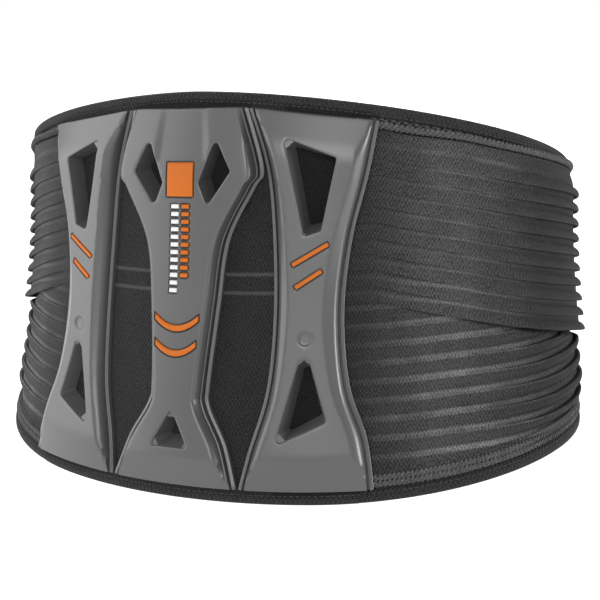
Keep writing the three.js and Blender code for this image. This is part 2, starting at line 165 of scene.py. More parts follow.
def sweep(name, svals, section, material, offset_v=None, strip=False):
    """A closed section (k points of z, h) carried along the wall; UVs are s and z in millimetres.

    With strip, the second half of the section faces the first half point for point, and the ends
    are closed by quads between them.
    """
    svals = np.asarray(svals, float)
    rings = [np.asarray(section(s), float) for s in svals]
    k = len(rings[0])
    points, uvs = [], []
    for s, ring in zip(svals, rings):
        points.append(wall(s, ring[:, 0], ring[:, 1]))
        base = offset_v(s) if offset_v else 0.0
        uvs.append(np.column_stack([np.full(k, s), ring[:, 0] - base]))
    faces = []
    for i in range(len(svals) - 1):
        for j in range(k):
            j1 = (j + 1) % k
            faces.append((i * k + j, (i + 1) * k + j, (i + 1) * k + j1, i * k + j1))
    last = (len(svals) - 1) * k
    if strip:
        for j in range(k // 2 - 1):
            cap = (j, j + 1, k - 2 - j, k - 1 - j)
            faces += [cap, tuple(last + m for m in reversed(cap))]
    else:
        faces.append(tuple(range(k)))
        faces.append(tuple(last + j for j in reversed(range(k))))
    return new_object(name, np.concatenate(points), faces, np.concatenate(uvs), material)


def declare(piece, replaced=(), body=None):
    """Hide the parts a new piece replaces, and attach it to a body when one is given."""
    if replaced:
        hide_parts(*replaced)
    if body:
        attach(piece, body)
    return piece


def along(s0, s1, step):
    return np.linspace(s0, s1, max(2, int(round(abs(s1 - s0) / step)) + 1))


def tape_section(low, high, inner, outer, bulge=0.5, radius=1.4):
    """Rounded tape cross-section: bottom outer corner first, up the outside, down the inside."""
    r = min(radius, (outer - inner) * 0.49, (high - low) * 0.49)
    quarter = np.linspace(0, math.pi / 2, 5)
    pts = []
    for a in quarter:
        pts.append((low + r - r * math.cos(a), outer - r + r * math.sin(a)))
    for f in (0.25, 0.5, 0.75):
        swell = bulge * math.sin(math.pi * f)
        pts.append((low + r + (high - low - 2 * r) * f, outer + swell))
    for a in quarter:
        pts.append((high - r + r * math.sin(a), outer - r + r * math.cos(a)))
    for a in quarter:
        pts.append((high - r + r * math.cos(a), inner + r - r * math.sin(a)))
    for a in quarter:
        pts.append((low + r - r * math.sin(a), inner + r - r * math.cos(a)))
    return np.array(pts)


# ---------- materials ----------
def material(name, color, roughness, metallic=0.0, sheen=0.0, coat=0.0, specular=0.5):
    mat = bpy.data.materials.new(name)
    mat.use_nodes = True
    shader = mat.node_tree.nodes["Principled BSDF"]
    shader.inputs["Base Color"].default_value = (*color, 1)
    shader.inputs["Roughness"].default_value = roughness
    shader.inputs["Metallic"].default_value = metallic
    shader.inputs["Sheen Weight"].default_value = sheen
    shader.inputs["Sheen Roughness"].default_value = 0.45
    shader.inputs["Coat Weight"].default_value = coat
    shader.inputs["Specular IOR Level"].default_value = specular
    return mat, mat.node_tree, shader


def node(tree, kind, **settings):
    made = tree.nodes.new(kind)
    for key, value in settings.items():
        if key.startswith("in_"):
            slot = key[3:]
            target = made.inputs[int(slot)] if slot.isdigit() else made.inputs[slot.replace("_", " ")]
            target.default_value = value
        else:
            setattr(made, key, value)
    return made


def math_node(tree, operation, a, b=None, c=None):
    made = tree.nodes.new("ShaderNodeMath")
    made.operation = operation
    for i, value in enumerate((a, b, c)):
        if value is None:
            continue
        if isinstance(value, (int, float)):
            made.inputs[i].default_value = value
        else:
            tree.links.new(value, made.inputs[i])
    return made.outputs[0]


def ranged(tree, source, start, end, low=0.0, high=1.0):
    """A value carried from start..end to low..high, held at the ends."""
    made = node(tree, "ShaderNodeMapRange", in_1=start, in_2=end, in_3=low, in_4=high)
    tree.links.new(source, made.inputs[0])
    return made.outputs[0]


def mixed_color(tree, share, first, second):
    """second over first by share; second is a color or another node's output."""
    made = node(tree, "ShaderNodeMix", data_type="RGBA")
    tree.links.new(share, made.inputs[0])
    tree.links.new(first, made.inputs[6])
    if isinstance(second, tuple):
        made.inputs[7].default_value = (*second, 1)
    else:
        tree.links.new(second, made.inputs[7])
    return made.outputs[2]


def scaled_color(tree, color, share):
    made = node(tree, "ShaderNodeVectorMath", operation="SCALE")
    tree.links.new(color, made.inputs[0])
    tree.links.new(share, made.inputs["Scale"])
    return made.outputs[0]


def noise(tree, vector, scale, detail=2.0, roughness=0.5):
    made = node(tree, "ShaderNodeTexNoise", in_Scale=scale, in_Detail=detail, in_Roughness=roughness)
    tree.links.new(vector, made.inputs["Vector"])
    return made.outputs["Fac"]


def ramp(tree, fac, stops):
    made = tree.nodes.new("ShaderNodeValToRGB")
    elements = made.color_ramp.elements
    while len(elements) < len(stops):
        elements.new(0.5)
    for element, (place, color) in zip(elements, stops):
        element.position = place
        element.color = (*color, 1)
    tree.links.new(fac, made.inputs["Fac"])
    return made.outputs["Color"]


def bump(tree, shader, height, strength, distance):
    made = tree.nodes.new("ShaderNodeBump")
    made.inputs["Strength"].default_value = strength
    made.inputs["Distance"].default_value = distance
    tree.links.new(height, made.inputs["Height"])
    tree.links.new(made.outputs[0], shader.inputs["Normal"])


def uv_vector(tree):
    return node(tree, "ShaderNodeTexCoord").outputs["UV"]


def knit_height(tree, uv, pitch_u, pitch_v, slant):
    """Rows of slanted stitches, each pitch_u by pitch_v millimetres, as a height from -1 to 1."""
    split = node(tree, "ShaderNodeSeparateXYZ")
    tree.links.new(uv, split.inputs[0])
    u, v = split.outputs[0], split.outputs[1]
    row = math_node(tree, "MULTIPLY", v, 2 * math.pi / pitch_v)
    lean = math_node(tree, "MULTIPLY", math_node(tree, "SINE", math_node(tree, "MULTIPLY", row, 0.5)), slant)
    column_at = math_node(tree, "MULTIPLY", math_node(tree, "ADD", u, lean), 2 * math.pi / pitch_u)
    across = math_node(tree, "SINE", column_at)
    up = math_node(tree, "SINE", row)
    return math_node(tree, "MULTIPLY", across, up), u, v


def knit_color(tree, uv, height, dark, light, grain_scale, stitch_shade=0.17):
    """Yarn colour: uneven thread and soft patches, with painted highlight on the crowns and painted shade in
    the gaps between stitches.
    """
    grain = noise(tree, uv, grain_scale, 2.0, 0.7)
    cloud = noise(tree, uv, 0.06, 2.0)
    # painted shade and highlight: the colour follows the stitch height
    mix = math_node(tree, "MULTIPLY_ADD", height, stitch_shade, grain)
    total = math_node(tree, "MULTIPLY_ADD", cloud, 0.2, math_node(tree, "SUBTRACT", mix, 0.1))
    return ramp(tree, total, [(0.28, dark), (0.72, light)]), grain


# painted shade: how dark the cloth inside the stay windows is coloured
WINDOW_PAINTED_SHADE = 0.35
STRIPE_COLOR = (0.085, 0.085, 0.085)
KNIT_BUMP, STRAP_BUMP = 0.0005, 0.0006


def window_painted_shade(tree, u, v, windows):
    """Painted shade: the cloth seen through the side windows and through the upper windows of the centre stay
    is darkened in its colour.
    """
    outer_from, inner_to, upper_from = windows
    reach = math_node(tree, "ABSOLUTE", u)
    outer = ranged(tree, reach, outer_from, outer_from + 3, 1.0, WINDOW_PAINTED_SHADE)
    inner = ranged(tree, reach, inner_to + 3, inner_to)
    above = ranged(tree, v, upper_from, upper_from + 6, 0.0, 1 - WINDOW_PAINTED_SHADE)
    middle = math_node(tree, "SUBTRACT", 1.0, math_node(tree, "MULTIPLY", inner, above))
    return math_node(tree, "MULTIPLY", outer, middle)


def knit_material(name, dark, light, pitch=(2.2, 1.9), slant=0.6, stripes=(), windows=None, stitch_shade=0.17):
    mat, tree, shader = material(name, light, 0.85, sheen=0.04, specular=0.3)
    uv = uv_vector(tree)
    height, u, v = knit_height(tree, uv, pitch[0], pitch[1], slant)
    color, grain = knit_color(tree, uv, height, dark, light, 0.9, stitch_shade)
    for center, width in stripes:
        away = math_node(tree, "ABSOLUTE", math_node(tree, "SUBTRACT", v, center))
        inside = ranged(tree, away, width / 2 + 0.5, width / 2 - 0.3, 0.0, 0.5)
        color = mixed_color(tree, inside, color, STRIPE_COLOR)
    # painted shade darkens the cloth inside the stay windows
    if windows:
        color = scaled_color(tree, color, window_painted_shade(tree, u, v, windows))
    tree.links.new(color, shader.inputs["Base Color"])
    bump(tree, shader, math_node(tree, "MULTIPLY_ADD", grain, 2.0, height), 0.7, KNIT_BUMP)
    return mat


def times(color, factor):
    return tuple(c * factor for c in color)


def strap_painted_shade(tree, reach):
    """Painted shade: darker beside the stays and at the side of the waist, lighter again toward the front."""
    shade = ranged(tree, reach, 98.0, 138.0, 0.4, 1.0)
    side = ranged(tree, reach, 155.0, 206.0, 1.0, 0.36)
    ahead = ranged(tree, reach, 226.0, 286.0, 0.0, 0.85)
    return math_node(tree, "MULTIPLY", shade, math_node(tree, "MAXIMUM", side, ahead))


def strap_material(name, pitch, first, band, dark, light, fade_in, fade_out, streaks, lowest):
    """Ribbed elastic: light mesh bands every pitch across the strap, strongest between two arc positions;
    their fading toward the stays and toward the side of the waist is painted shade, and the whole strap
    colour carries painted shade.
    """
    mat, tree, shader = material(name, dark, 0.85, sheen=0.03, specular=0.25)
    uv = uv_vector(tree)
    height, u, v = knit_height(tree, uv, 2.0, 1.7, 0.7)
    wobble = math_node(tree, "MULTIPLY_ADD", noise(tree, uv, 0.35, 2.0), 0.9, -0.45)
    shifted = math_node(tree, "ADD", math_node(tree, "ADD", v, wobble), -first + 200 * pitch + pitch / 2)
    turn = math_node(tree, "FRACT", math_node(tree, "DIVIDE", shifted, pitch))
    part = math_node(tree, "ABSOLUTE", math_node(tree, "SUBTRACT", turn, 0.5))
    inside = ranged(tree, part, band / pitch / 2 + 0.06, band / pitch / 2 - 0.04)
    reach = math_node(tree, "ABSOLUTE", u)
    # painted shade: the bands fade beside the stays and toward the side of the waist
    near = ranged(tree, reach, *fade_in, 0.35, 1.0)
    far = ranged(tree, reach, *fade_out, 1.0, 0.4)
    share = math_node(tree, "MULTIPLY", inside, math_node(tree, "MULTIPLY", near, far))
    stops = [(0.3, (streaks[0],) * 3), (0.62, (streaks[1],) * 3)]
    streak = ramp(tree, noise(tree, stretched(tree, uv), 0.16, 3.0), stops)
    lower_share = ranged(tree, v, -68, -76, 0.0, lowest)
    share = math_node(tree, "MULTIPLY", share, math_node(tree, "MAXIMUM", streak, lower_share))
    rib, grain = knit_color(tree, uv, height, times(dark, 0.25), times(dark, 1.9), 0.8)
    band_color, _grain = knit_color(tree, uv, height, times(light, 0.3), times(light, 1.6), 0.9)
    # painted shade beside the stays and at the side of the waist is multiplied into the strap colour
    color = scaled_color(tree, mixed_color(tree, share, rib, band_color), strap_painted_shade(tree, reach))
    tree.links.new(color, shader.inputs["Base Color"])
    bump(tree, shader, math_node(tree, "MULTIPLY_ADD", grain, 2.0, height), 0.8, STRAP_BUMP)
    return mat


def stretched(tree, uv):
    """Strap coordinates squeezed along the strap, for marks that run lengthwise."""
    squeezed = node(tree, "ShaderNodeVectorMath", operation="MULTIPLY")
    tree.links.new(uv, squeezed.inputs[0])
    squeezed.inputs[1].default_value = (0.3, 1.0, 1.0)
    return squeezed.outputs[0]


def plastic_material(name, color, roughness=0.34, specular=0.5, coat=0.2):
    mat, tree, shader = material(name, color, roughness, coat=coat, specular=specular)
    shader.inputs["Coat Roughness"].default_value = 0.3
    place = node(tree, "ShaderNodeTexCoord").outputs["Object"]
    cloud = noise(tree, place, 14.0, 3.0)
    fine = noise(tree, place, 2600.0, 1.0)
    tones = ramp(tree, cloud, [(0.3, times(color, 0.93)), (0.7, times(color, 1.06))])
    tree.links.new(tones, shader.inputs["Base Color"])
    rough = ranged(tree, cloud, 0.0, 1.0, roughness - 0.05, roughness + 0.07)
    tree.links.new(rough, shader.inputs["Roughness"])
    bump(tree, shader, fine, 0.06, 0.0001)
    return mat


STAY = plastic_material("stay_plastic_look", (0.056, 0.056, 0.057), 0.4, 0.45, 0.5)
ORANGE = plastic_material("orange_look", (0.43, 0.1, 0.003), 0.5, 0.25, 0.0)
LIGHT = plastic_material("light_look", (0.6, 0.6, 0.58), 0.5, 0.3, 0.0)
DARK_RIM = plastic_material("dark_rim_look", (0.008, 0.008, 0.008), 0.5)
UPPER_PITCH, UPPER_FIRST = 8.72, -7.6
LOWER_PITCH, LOWER_FIRST = 9.75, 22.8
# windows gives where painted shade darkens the back cloth inside the stay windows
KNIT = knit_material("back_knit_look", (0.002, 0.002, 0.002), (0.022, 0.022, 0.023),
                     stripes=((120.5, 1.6), (110.5, 1.6)), windows=(54.0, 36.0, 152.0))
PANEL = knit_material("wing_knit_look", (0.008, 0.008, 0.008), (0.07, 0.07, 0.072), (4.2, 3.2), 0.4,
                      stitch_shade=0.5)
BINDING = knit_material("binding_look", (0.002, 0.002, 0.002), (0.026, 0.026, 0.027), (2.4, 2.4), 1.0)
LINING = knit_material("lining_look", (0.01, 0.01, 0.011), (0.06, 0.06, 0.064), (5.0, 5.0), 0.0, stitch_shade=0.4)
BRAID = knit_material("braid_look", (0.03, 0.03, 0.03), (0.15, 0.15, 0.15), (1.6, 1.2), 0.3)
TAB = knit_material("tab_look", (0.01, 0.01, 0.01), (0.09, 0.09, 0.092), (3.0, 2.4), 0.2, stitch_shade=0.4)
STITCH = knit_material("stitch_look", (0.02, 0.02, 0.02), (0.11, 0.11, 0.112), (1.0, 1.0), 0.3)
HOOK = knit_material("hook_look", (0.002, 0.002, 0.003), (0.02, 0.02, 0.021), (1.4, 1.4), 0.0)
# the band fade ranges and the strap colour carry painted shade
UPPER = strap_material("upper_strap_look", UPPER_PITCH, UPPER_FIRST, 2.0, (0.05, 0.05, 0.051),
                       (0.125, 0.125, 0.126), (112, 150), (180, 225), (0.12, 0.75), 1.0)
LOWER = strap_material("lower_strap_look", LOWER_PITCH, LOWER_FIRST, 2.5, (0.042, 0.042, 0.043),
                       (0.19, 0.19, 0.192), (108, 160), (215, 250), (0.45, 1.0), 0.0)

# ---------- moulded stays ----------
def spline(points, count):
    """Uniform Catmull-Rom run through control points."""
    p = np.array(points, float)
    ends = np.vstack([p[0], p, p[-1]])
    t = np.linspace(0, len(p) - 1, count)
    i = np.minimum(t.astype(int), len(p) - 2)
    w = (t - i)[:, None]
    p0, p1, p2, p3 = ends[i], ends[i + 1], ends[i + 2], ends[i + 3]
    v0, v1 = (p2 - p0) / 2, (p3 - p1) / 2
    return (2 * p1 - 2 * p2 + v0 + v1) * w**3 + (-3 * p1 + 3 * p2 - 2 * v0 - v1) * w**2 + v0 * w + p1


def stay_top(s):
    return top_edge(s) - BINDING_HEIGHT - 1.2


CENTER_EDGE = [(37, 8), (36.2, 12), (30, 31), (19.5, 50), (18.5, 62), (22.5, 105), (27, 140), (41, 168),
               (45.5, 178), (36, 210), (35.5, 213)]
OUTER_EDGE = [(108, 7), (105, 34), (96, 62), (92.5, 100), (95.5, 138), (102.5, 172), (106, 199), (106.5, 205)]
INNER_EDGE = [(38.6, 7), (43, 27), (52, 60), (54.5, 100), (52.3, 144), (47.5, 178), (37, 210), (36, 214)]


def edge_function(points):
    run = spline(points, 400)
    order = np.argsort(run[:, 1])
    return lambda z: np.interp(z, run[order, 1], run[order, 0])


def polygon_distance(s, z, polygon):
    """Signed distance to a closed polygon, negative inside."""
    p = np.stack([s, z], -1)
    poly = np.array(polygon, float)
    best = np.full(s.shape, 1e9)
    inside = np.zeros(s.shape, bool)
    for a, b in zip(poly, np.roll(poly, -1, 0)):
        ab, ap = b - a, p - a
        t = np.clip((ap @ ab) / (ab @ ab), 0, 1)
        best = np.minimum(best, np.linalg.norm(ap - t[..., None] * ab, axis=-1))
        cross = (a[1] > p[..., 1]) != (b[1] > p[..., 1])
        with np.errstate(divide="ignore", invalid="ignore"):
            hit = p[..., 0] < (b[0] - a[0]) * (p[..., 1] - a[1]) / (b[1] - a[1]) + a[0]
        inside ^= cross & hit
    return np.where(inside, -best, best)


def shrunk(polygon, distance):
    """Convex polygon with every side moved inward by a distance."""
    poly = np.array(polygon, float)
    area = np.sum(poly[:, 0] * np.roll(poly[:, 1], -1) - np.roll(poly[:, 0], -1) * poly[:, 1])
    if area < 0:
        poly = poly[::-1]
    made = []
    count = len(poly)
    for i in range(count):
        a, b, c = poly[i - 1], poly[i], poly[(i + 1) % count]
        n0 = np.array([a[1] - b[1], b[0] - a[0]])
        n1 = np.array([b[1] - c[1], c[0] - b[0]])
        n0, n1 = n0 / np.linalg.norm(n0), n1 / np.linalg.norm(n1)
        bisector = (n0 + n1) / (1 + n0 @ n1)
        made.append(b + bisector * distance)
    return np.array(made)


def rounded_distance(s, z, polygon, radius):
    return polygon_distance(s, z, shrunk(polygon, radius)) - radius


HOLE_RADIUS = 0.9
POCKET = 1.0
POCKET_GAP = 0.6


def mirrored(polygon):
    return [(-s, z) for s, z in polygon]


def face_level(z):
    return 9.3 + 2.1 * z / HEIGHT


# each window: its corners at the face with their radius, and its corners at the fabric
SIDE_WINDOWS = [
    ([(57.6, 195), (70.2, 142.6), (79.4, 145.2), (85.8, 183)], 1.7,
     [(62.6, 188.6), (72.6, 146.8), (79.2, 147.8), (85, 181.4)]),
    ([(58.3, 33.6), (84.6, 45.3), (75.2, 77.6), (70.2, 77.2)], 1.7,
     [(64.3, 38.3), (81.6, 46.8), (74.6, 71.5), (72.2, 71)]),
]
CENTER_WINDOWS = [
    ([(11.2, 172), (16.6, 159.4), (29.6, 178), (20.4, 195.6)], 1.8,
     [(13.4, 172.5), (17, 163.4), (27, 178), (20.2, 191.4)]),
    ([(-29.6, 178), (-16.6, 159.4), (-11.2, 172), (-20.4, 195.6)], 1.8,
     [(-27, 178), (-17, 163.4), (-13.4, 172.5), (-20.2, 191.4)]),
    ([(-11, 29.8), (11, 29.8), (0, 49.8)], 1.2, [(-4.5, 33.8), (7, 33.8), (0.9, 43.5)]),
]
SIDE_BARS = [((65, 127.5), (83.5, 138)), ((67, 115.5), (80.5, 124))]
BAR_WIDTH = 2.2
CHEVRONS = [(13.6, 99.0, 93.0), (12.6, 85.0, 79.5)]
CHEVRON_WIDTH = 3.2


def bar_outline(start, end, width):
    a, b = np.array(start, float), np.array(end, float)
    d = (b - a) / np.linalg.norm(b - a)
    n = np.array([-d[1], d[0]]) * width / 2
    return [tuple(a - n), tuple(b - n), tuple(b + n), tuple(a + n)]


def band_outline(half, end_z, middle_z, width, parts=12):
    u = np.linspace(-1, 1, parts + 1)
    z = middle_z + (end_z - middle_z) * u * u
    low = [(half * a, b - width / 2) for a, b in zip(u, z)]
    return low + [(half * a, b + width / 2) for a, b in zip(u[::-1], z[::-1])]


CHEVRON_OUTLINES = [band_outline(*c, CHEVRON_WIDTH) for c in CHEVRONS]
BAR_OUTLINES = [bar_outline(a, b, BAR_WIDTH) for a, b in SIDE_BARS]
FLANK_STEPS = (0, 1.6, 2.1, 2.7, 3.2, 4.4)
CENTER_FLANK_STEPS = (0, 1.5, 2.0, 2.5, 2.9, 3.5, 3.9, 5.1, 5.9, 7.0)
DIMPLE = (73.0, 88.5, 4.0)
DASH = 2.3
DASH_PITCH = 4.15
DASH_TOP = 158.0
LIGHT_DASHES, ORANGE_DASHES = 12, 10
BADGE = [(-8, 164.5), (8, 164.5), (8, 183), (-8, 183)]
TILES = [[(s0, z0), (s1, z0), (s1, z0 + DASH), (s0, z0 + DASH)]
         for s0, s1, count in ((-5.2, -0.4, LIGHT_DASHES), (1.2, 6.0, ORANGE_DASHES))
         for z0 in [DASH_TOP - DASH_PITCH * i for i in range(count)]]


RIM = 0.8
PIT = -0.9


def window_cut(h, s, z, windows):
    """Round the rim of each window and slope its walls down to the fabric."""
    for face, radius, hole in windows:
        outer = rounded_distance(s, z, face, radius)
        inner = rounded_distance(s, z, hole, HOLE_RADIUS)
        drop = RIM - np.sqrt(np.clip(RIM**2 - (RIM - np.clip(outer, 0, RIM)) ** 2, 0, None))
        wall_share = np.clip(-outer / np.maximum(1e-6, np.maximum(inner, 0) - outer), 0, 1)
        rim_level = h - drop
        h = np.where(outer >= 0, rim_level, (h - RIM) * (1 - wall_share) + PIT * wall_share)
    return h


def inlay_pockets(h, s, z, outlines):
    for outline in outlines:
        d = polygon_distance(s, z, outline)
        h = h - POCKET * (1 - smooth_step(d, POCKET_GAP, POCKET_GAP + 0.3))
    return h


def center_height(s, z):
    edge = CENTER_FN(z)
    d = edge - np.abs(s)
    face = face_level(z)
    flank = np.interp(d, CENTER_FLANK_STEPS, (2.3, 2.6, 0.6, 0.7, 4.0, 4.3, 3.9, 8.6, 9.7, 10))
    h = np.where(d > 3.9, 3.9 + (flank - 3.9) * (face - 3.9) / 6.1, flank)
    top = stay_top(s) - z
    low = z - STAY_BOTTOM
    upper_ramp = 5.4 + np.maximum(0, top) * 0.17
    upper_side = 5.7 + np.maximum(0, top) * 0.2
    inside = smooth_step(np.abs(s), 11 + 0.12 * top, 14 + 0.12 * top)
    h = soft_min(h, upper_ramp * (1 - inside) + upper_side * inside, 1.6)
    h = soft_min(h, 2.6 + np.maximum(0, low) * 0.43, 0.8)
    h = window_cut(h, s, z, CENTER_WINDOWS)
    return inlay_pockets(h, s, z, CHEVRON_OUTLINES + [BADGE] + TILES)


def soft_min(a, b, k):
    t = np.clip(0.5 + 0.5 * (b - a) / k, 0, 1)
    return b * (1 - t) + a * t - k * t * (1 - t)


def outer_crest(z):
    return 9.8 + 3.2 * np.exp(-(((z - 100) / 42) ** 2))


def inner_crest(z):
    return 7.6 + 2.4 * np.exp(-(((z - 105) / 42) ** 2))


CREST_EASE = 1.8
FACE_SINK = 1.0


def side_height(s, z):
    s = np.abs(s)
    d_out = OUTER_FN(z) - s
    d_in = s - INNER_FN(z)
    face = face_level(z)

    def flank(d, crest):
        low = np.interp(d, FLANK_STEPS, (2.3, 2.6, 0.6, 0.7, 4.2, 6.6))
        rise = 6.6 + (face - 6.6) * np.clip((d - FLANK_STEPS[-1]) / (crest - FLANK_STEPS[-1]), 0, 1)
        return np.where(d < FLANK_STEPS[-1], low, rise) - FACE_SINK * np.clip((d - crest) / CREST_EASE, 0, 1)

    h = np.minimum(flank(d_in, inner_crest(z)), flank(d_out, outer_crest(z)))
    h = soft_min(h, 3.4 + np.maximum(0, stay_top(s) - z) * 0.36, 2.2)
    h = soft_min(h, 2.6 + np.maximum(0, z - STAY_BOTTOM) * 0.34, 1.2)
    dimple = np.hypot(s - DIMPLE[0], z - DIMPLE[1])
    h = h - 0.7 * (1 - smooth_step(dimple, DIMPLE[2] - 0.9, DIMPLE[2]))
    h = window_cut(h, s, z, SIDE_WINDOWS)
    return inlay_pockets(h, s, z, BAR_OUTLINES)


STAY_BOTTOM = 8.4
CENTER_FN = edge_function(CENTER_EDGE)
OUTER_FN = edge_function(OUTER_EDGE)
INNER_FN = edge_function(INNER_EDGE)


def rounded_ring(polygon, radius, push, step=1.3, arc_parts=5):
    """Points round a convex polygon whose corners have a radius, pushed outward by a distance."""
    core = shrunk(polygon, radius)
    reach = radius + push
    ring = []
    count = len(core)
    for i in range(count):
        a, b, c = core[i - 1], core[i], core[(i + 1) % count]
        start = math.atan2(a[0] - b[0], b[1] - a[1])
        end = math.atan2(b[0] - c[0], c[1] - b[1])
        turn = (end - start) % (2 * math.pi)
        for k in range(arc_parts + 1):
            angle = start + turn * k / arc_parts
            ring.append(b + reach * np.array([math.cos(angle), math.sin(angle)]))
        first = c + reach * np.array([math.cos(end), math.sin(end)])
        parts = max(1, int(round(np.linalg.norm(c - b) / step)))
        ring += [ring[-1] + (first - ring[-1]) * k / parts for k in range(1, parts)]
    return np.array(ring)


def corner_ring(outline, push, step=1.3):
    """Points round an outline pushed outward, corners kept."""
    poly = shrunk(outline, -push)
    ring = []
    for a, b in zip(poly, np.roll(poly, -1, 0)):
        parts = max(1, int(round(np.linalg.norm(b - a) / step)))
        ring += [a + (b - a) * k / parts for k in range(parts)]
    return np.array(ring)


def circle_ring(center, radius, parts=26):
    angle = np.linspace(0, 2 * math.pi, parts, endpoint=False)
    return np.column_stack([center[0] + radius * np.cos(angle), center[1] + radius * np.sin(angle)])


def triangulated(chains, loose):
    """Constrained triangulation of open and closed chains with loose points between them."""
    coords, edges = [], []
    for chain, closed in chains:
        start = len(coords)
        coords += [Vector(p) for p in chain]
        edges += [(start + i, start + i + 1) for i in range(len(chain) - 1)]
        if closed:
            edges.append((start + len(chain) - 1, start))
    coords += [Vector(p) for p in loose]
    out = delaunay_2d_cdt(coords, edges, [], 1, 1e-4)
    return np.array([tuple(p) for p in out[0]]), [tuple(f) for f in out[2]], out[3]


def border_loops(faces):
    directed = {(a, b) for f in faces for a, b in zip(f, f[1:] + f[:1])}
    follow = {a: b for a, b in directed if (b, a) not in directed}
    loops = []
    while follow:
        start, here = follow.popitem()
        loop = [start, here]
        while here in follow:
            here = follow.pop(here)
            loop.append(here)
        loops.append(loop[:-1])
    return sorted(loops, key=len, reverse=True)


def column(edge, direction, distance, count=150):
    """A line up the stay at a distance inside one of its side edges."""
    v = np.linspace(0, 1, count)
    z = STAY_BOTTOM + 200 * v
    for _ in range(6):
        gap = distance(z) if callable(distance) else distance
        s = edge(z) + direction * gap
        z = STAY_BOTTOM * (1 - v) + stay_top(s) * v
    return np.column_stack([s, z])


def stay_piece(name, left, right, height, rings, holes, crests, steps, node_name):
    """A moulded stay: flanks, crests, windows and pockets follow their own edges."""
    left_lines = [column(left, 1, d) for d in steps]
    right_lines = [column(right, -1, d) for d in steps]
    inner = [column(left, 1, crests[0]), column(right, -1, crests[1])] if crests else []
    inner += [column(left, 1, lambda z: crests[0](z) + CREST_EASE),
              column(right, -1, lambda z: crests[1](z) + CREST_EASE)] if crests else []
    spread = np.linspace(0, 1, 34)[1:-1, None]
    fill = [left_lines[-1] * (1 - w) + right_lines[-1] * w for w in spread]
    sides = left_lines + inner + right_lines
    ends = [np.array(sorted(tuple(c[end]) for c in sides + fill)) for end in (0, -1)]
    chains = [(c, False) for c in left_lines + right_lines + inner]
    chains += [(end, False) for end in ends]
    chains += [(ring, True) for ring in rings]
    fixed = np.vstack([c for c, _closed in chains])
    loose = np.vstack([f[1:-1] for f in fill])
    keep = np.ones(len(loose), bool)
    for start in range(0, len(loose), 500):
        block = loose[start:start + 500]
        distance = np.linalg.norm(block[:, None, :] - fixed[None, :, :], axis=2).min(1)
        keep[start:start + 500] = distance > 0.75
    for face, radius, _hole in holes:
        keep &= rounded_distance(loose[:, 0], loose[:, 1], face, radius) > 0.2
    flat, faces, _ids = triangulated(chains, loose[keep])
    middle = flat[np.array(faces)].mean(1)
    solid = np.ones(len(faces), bool)
    for _face, _radius, hole in holes:
        solid &= rounded_distance(middle[:, 0], middle[:, 1], hole, HOLE_RADIUS) > 0
    faces = [f for f, ok in zip(faces, solid) if ok]
    h = height(flat[:, 0], flat[:, 1])
    points = [wall(flat[:, 0], flat[:, 1], h)]
    loops = border_loops(faces)
    for _face, _radius, hole in holes:
        on_edge = rounded_distance(flat[:, 0], flat[:, 1], hole, HOLE_RADIUS) < 0.05
        points[0][on_edge] = wall(flat[on_edge, 0], flat[on_edge, 1], PIT)
    outer = np.array(loops[0])
    ring_s, ring_z, ring_h = flat[outer, 0], flat[outer, 1], h[outer]
    out = np.column_stack([np.roll(ring_z, -1) - np.roll(ring_z, 1),
                           np.roll(ring_s, 1) - np.roll(ring_s, -1)])
    out /= np.linalg.norm(out, axis=1)[:, None]
    previous, start = outer, len(flat)
    for push, drop in ((0.2, 0.1), (0.36, 0.4), (0.42, 0.8), (0.42, None)):
        level = np.full(len(outer), PIT) if drop is None else ring_h - drop
        points.append(wall(ring_s + out[:, 0] * push, ring_z + out[:, 1] * push, level))
        current = start + np.arange(len(outer))
        for k in range(len(outer)):
            k1 = (k + 1) % len(outer)
            faces.append((previous[k1], previous[k], current[k], current[k1]))
        previous = current
        start += len(outer)
    under = [(np.column_stack([ring_s, ring_z]) + out * 0.42, previous)]
    under += [(flat[np.array(loop)], np.array(loop)) for loop in loops[1:]]
    order = np.concatenate([index for _flat, index in under])
    verts, tris, ids = triangulated([(c, True) for c, _index in under], [])
    middle = verts[np.array(tris)].mean(1)
    solid = np.ones(len(tris), bool)
    for _face, _radius, hole in holes:
        solid &= rounded_distance(middle[:, 0], middle[:, 1], hole, HOLE_RADIUS) > 0
    faces += [tuple(order[ids[v][0]] for v in reversed(tri)) for tri, ok in zip(tris, solid) if ok]
    faces = [tuple(int(x) for x in f) for f in faces]
    obj = new_object(name, np.concatenate(points), faces, None, STAY)
    return declare(obj, [node_name], "back")


INLAY_PROUD = 0.25
RIM_WIDTH = 0.5
INLAY_ROUND = 0.45


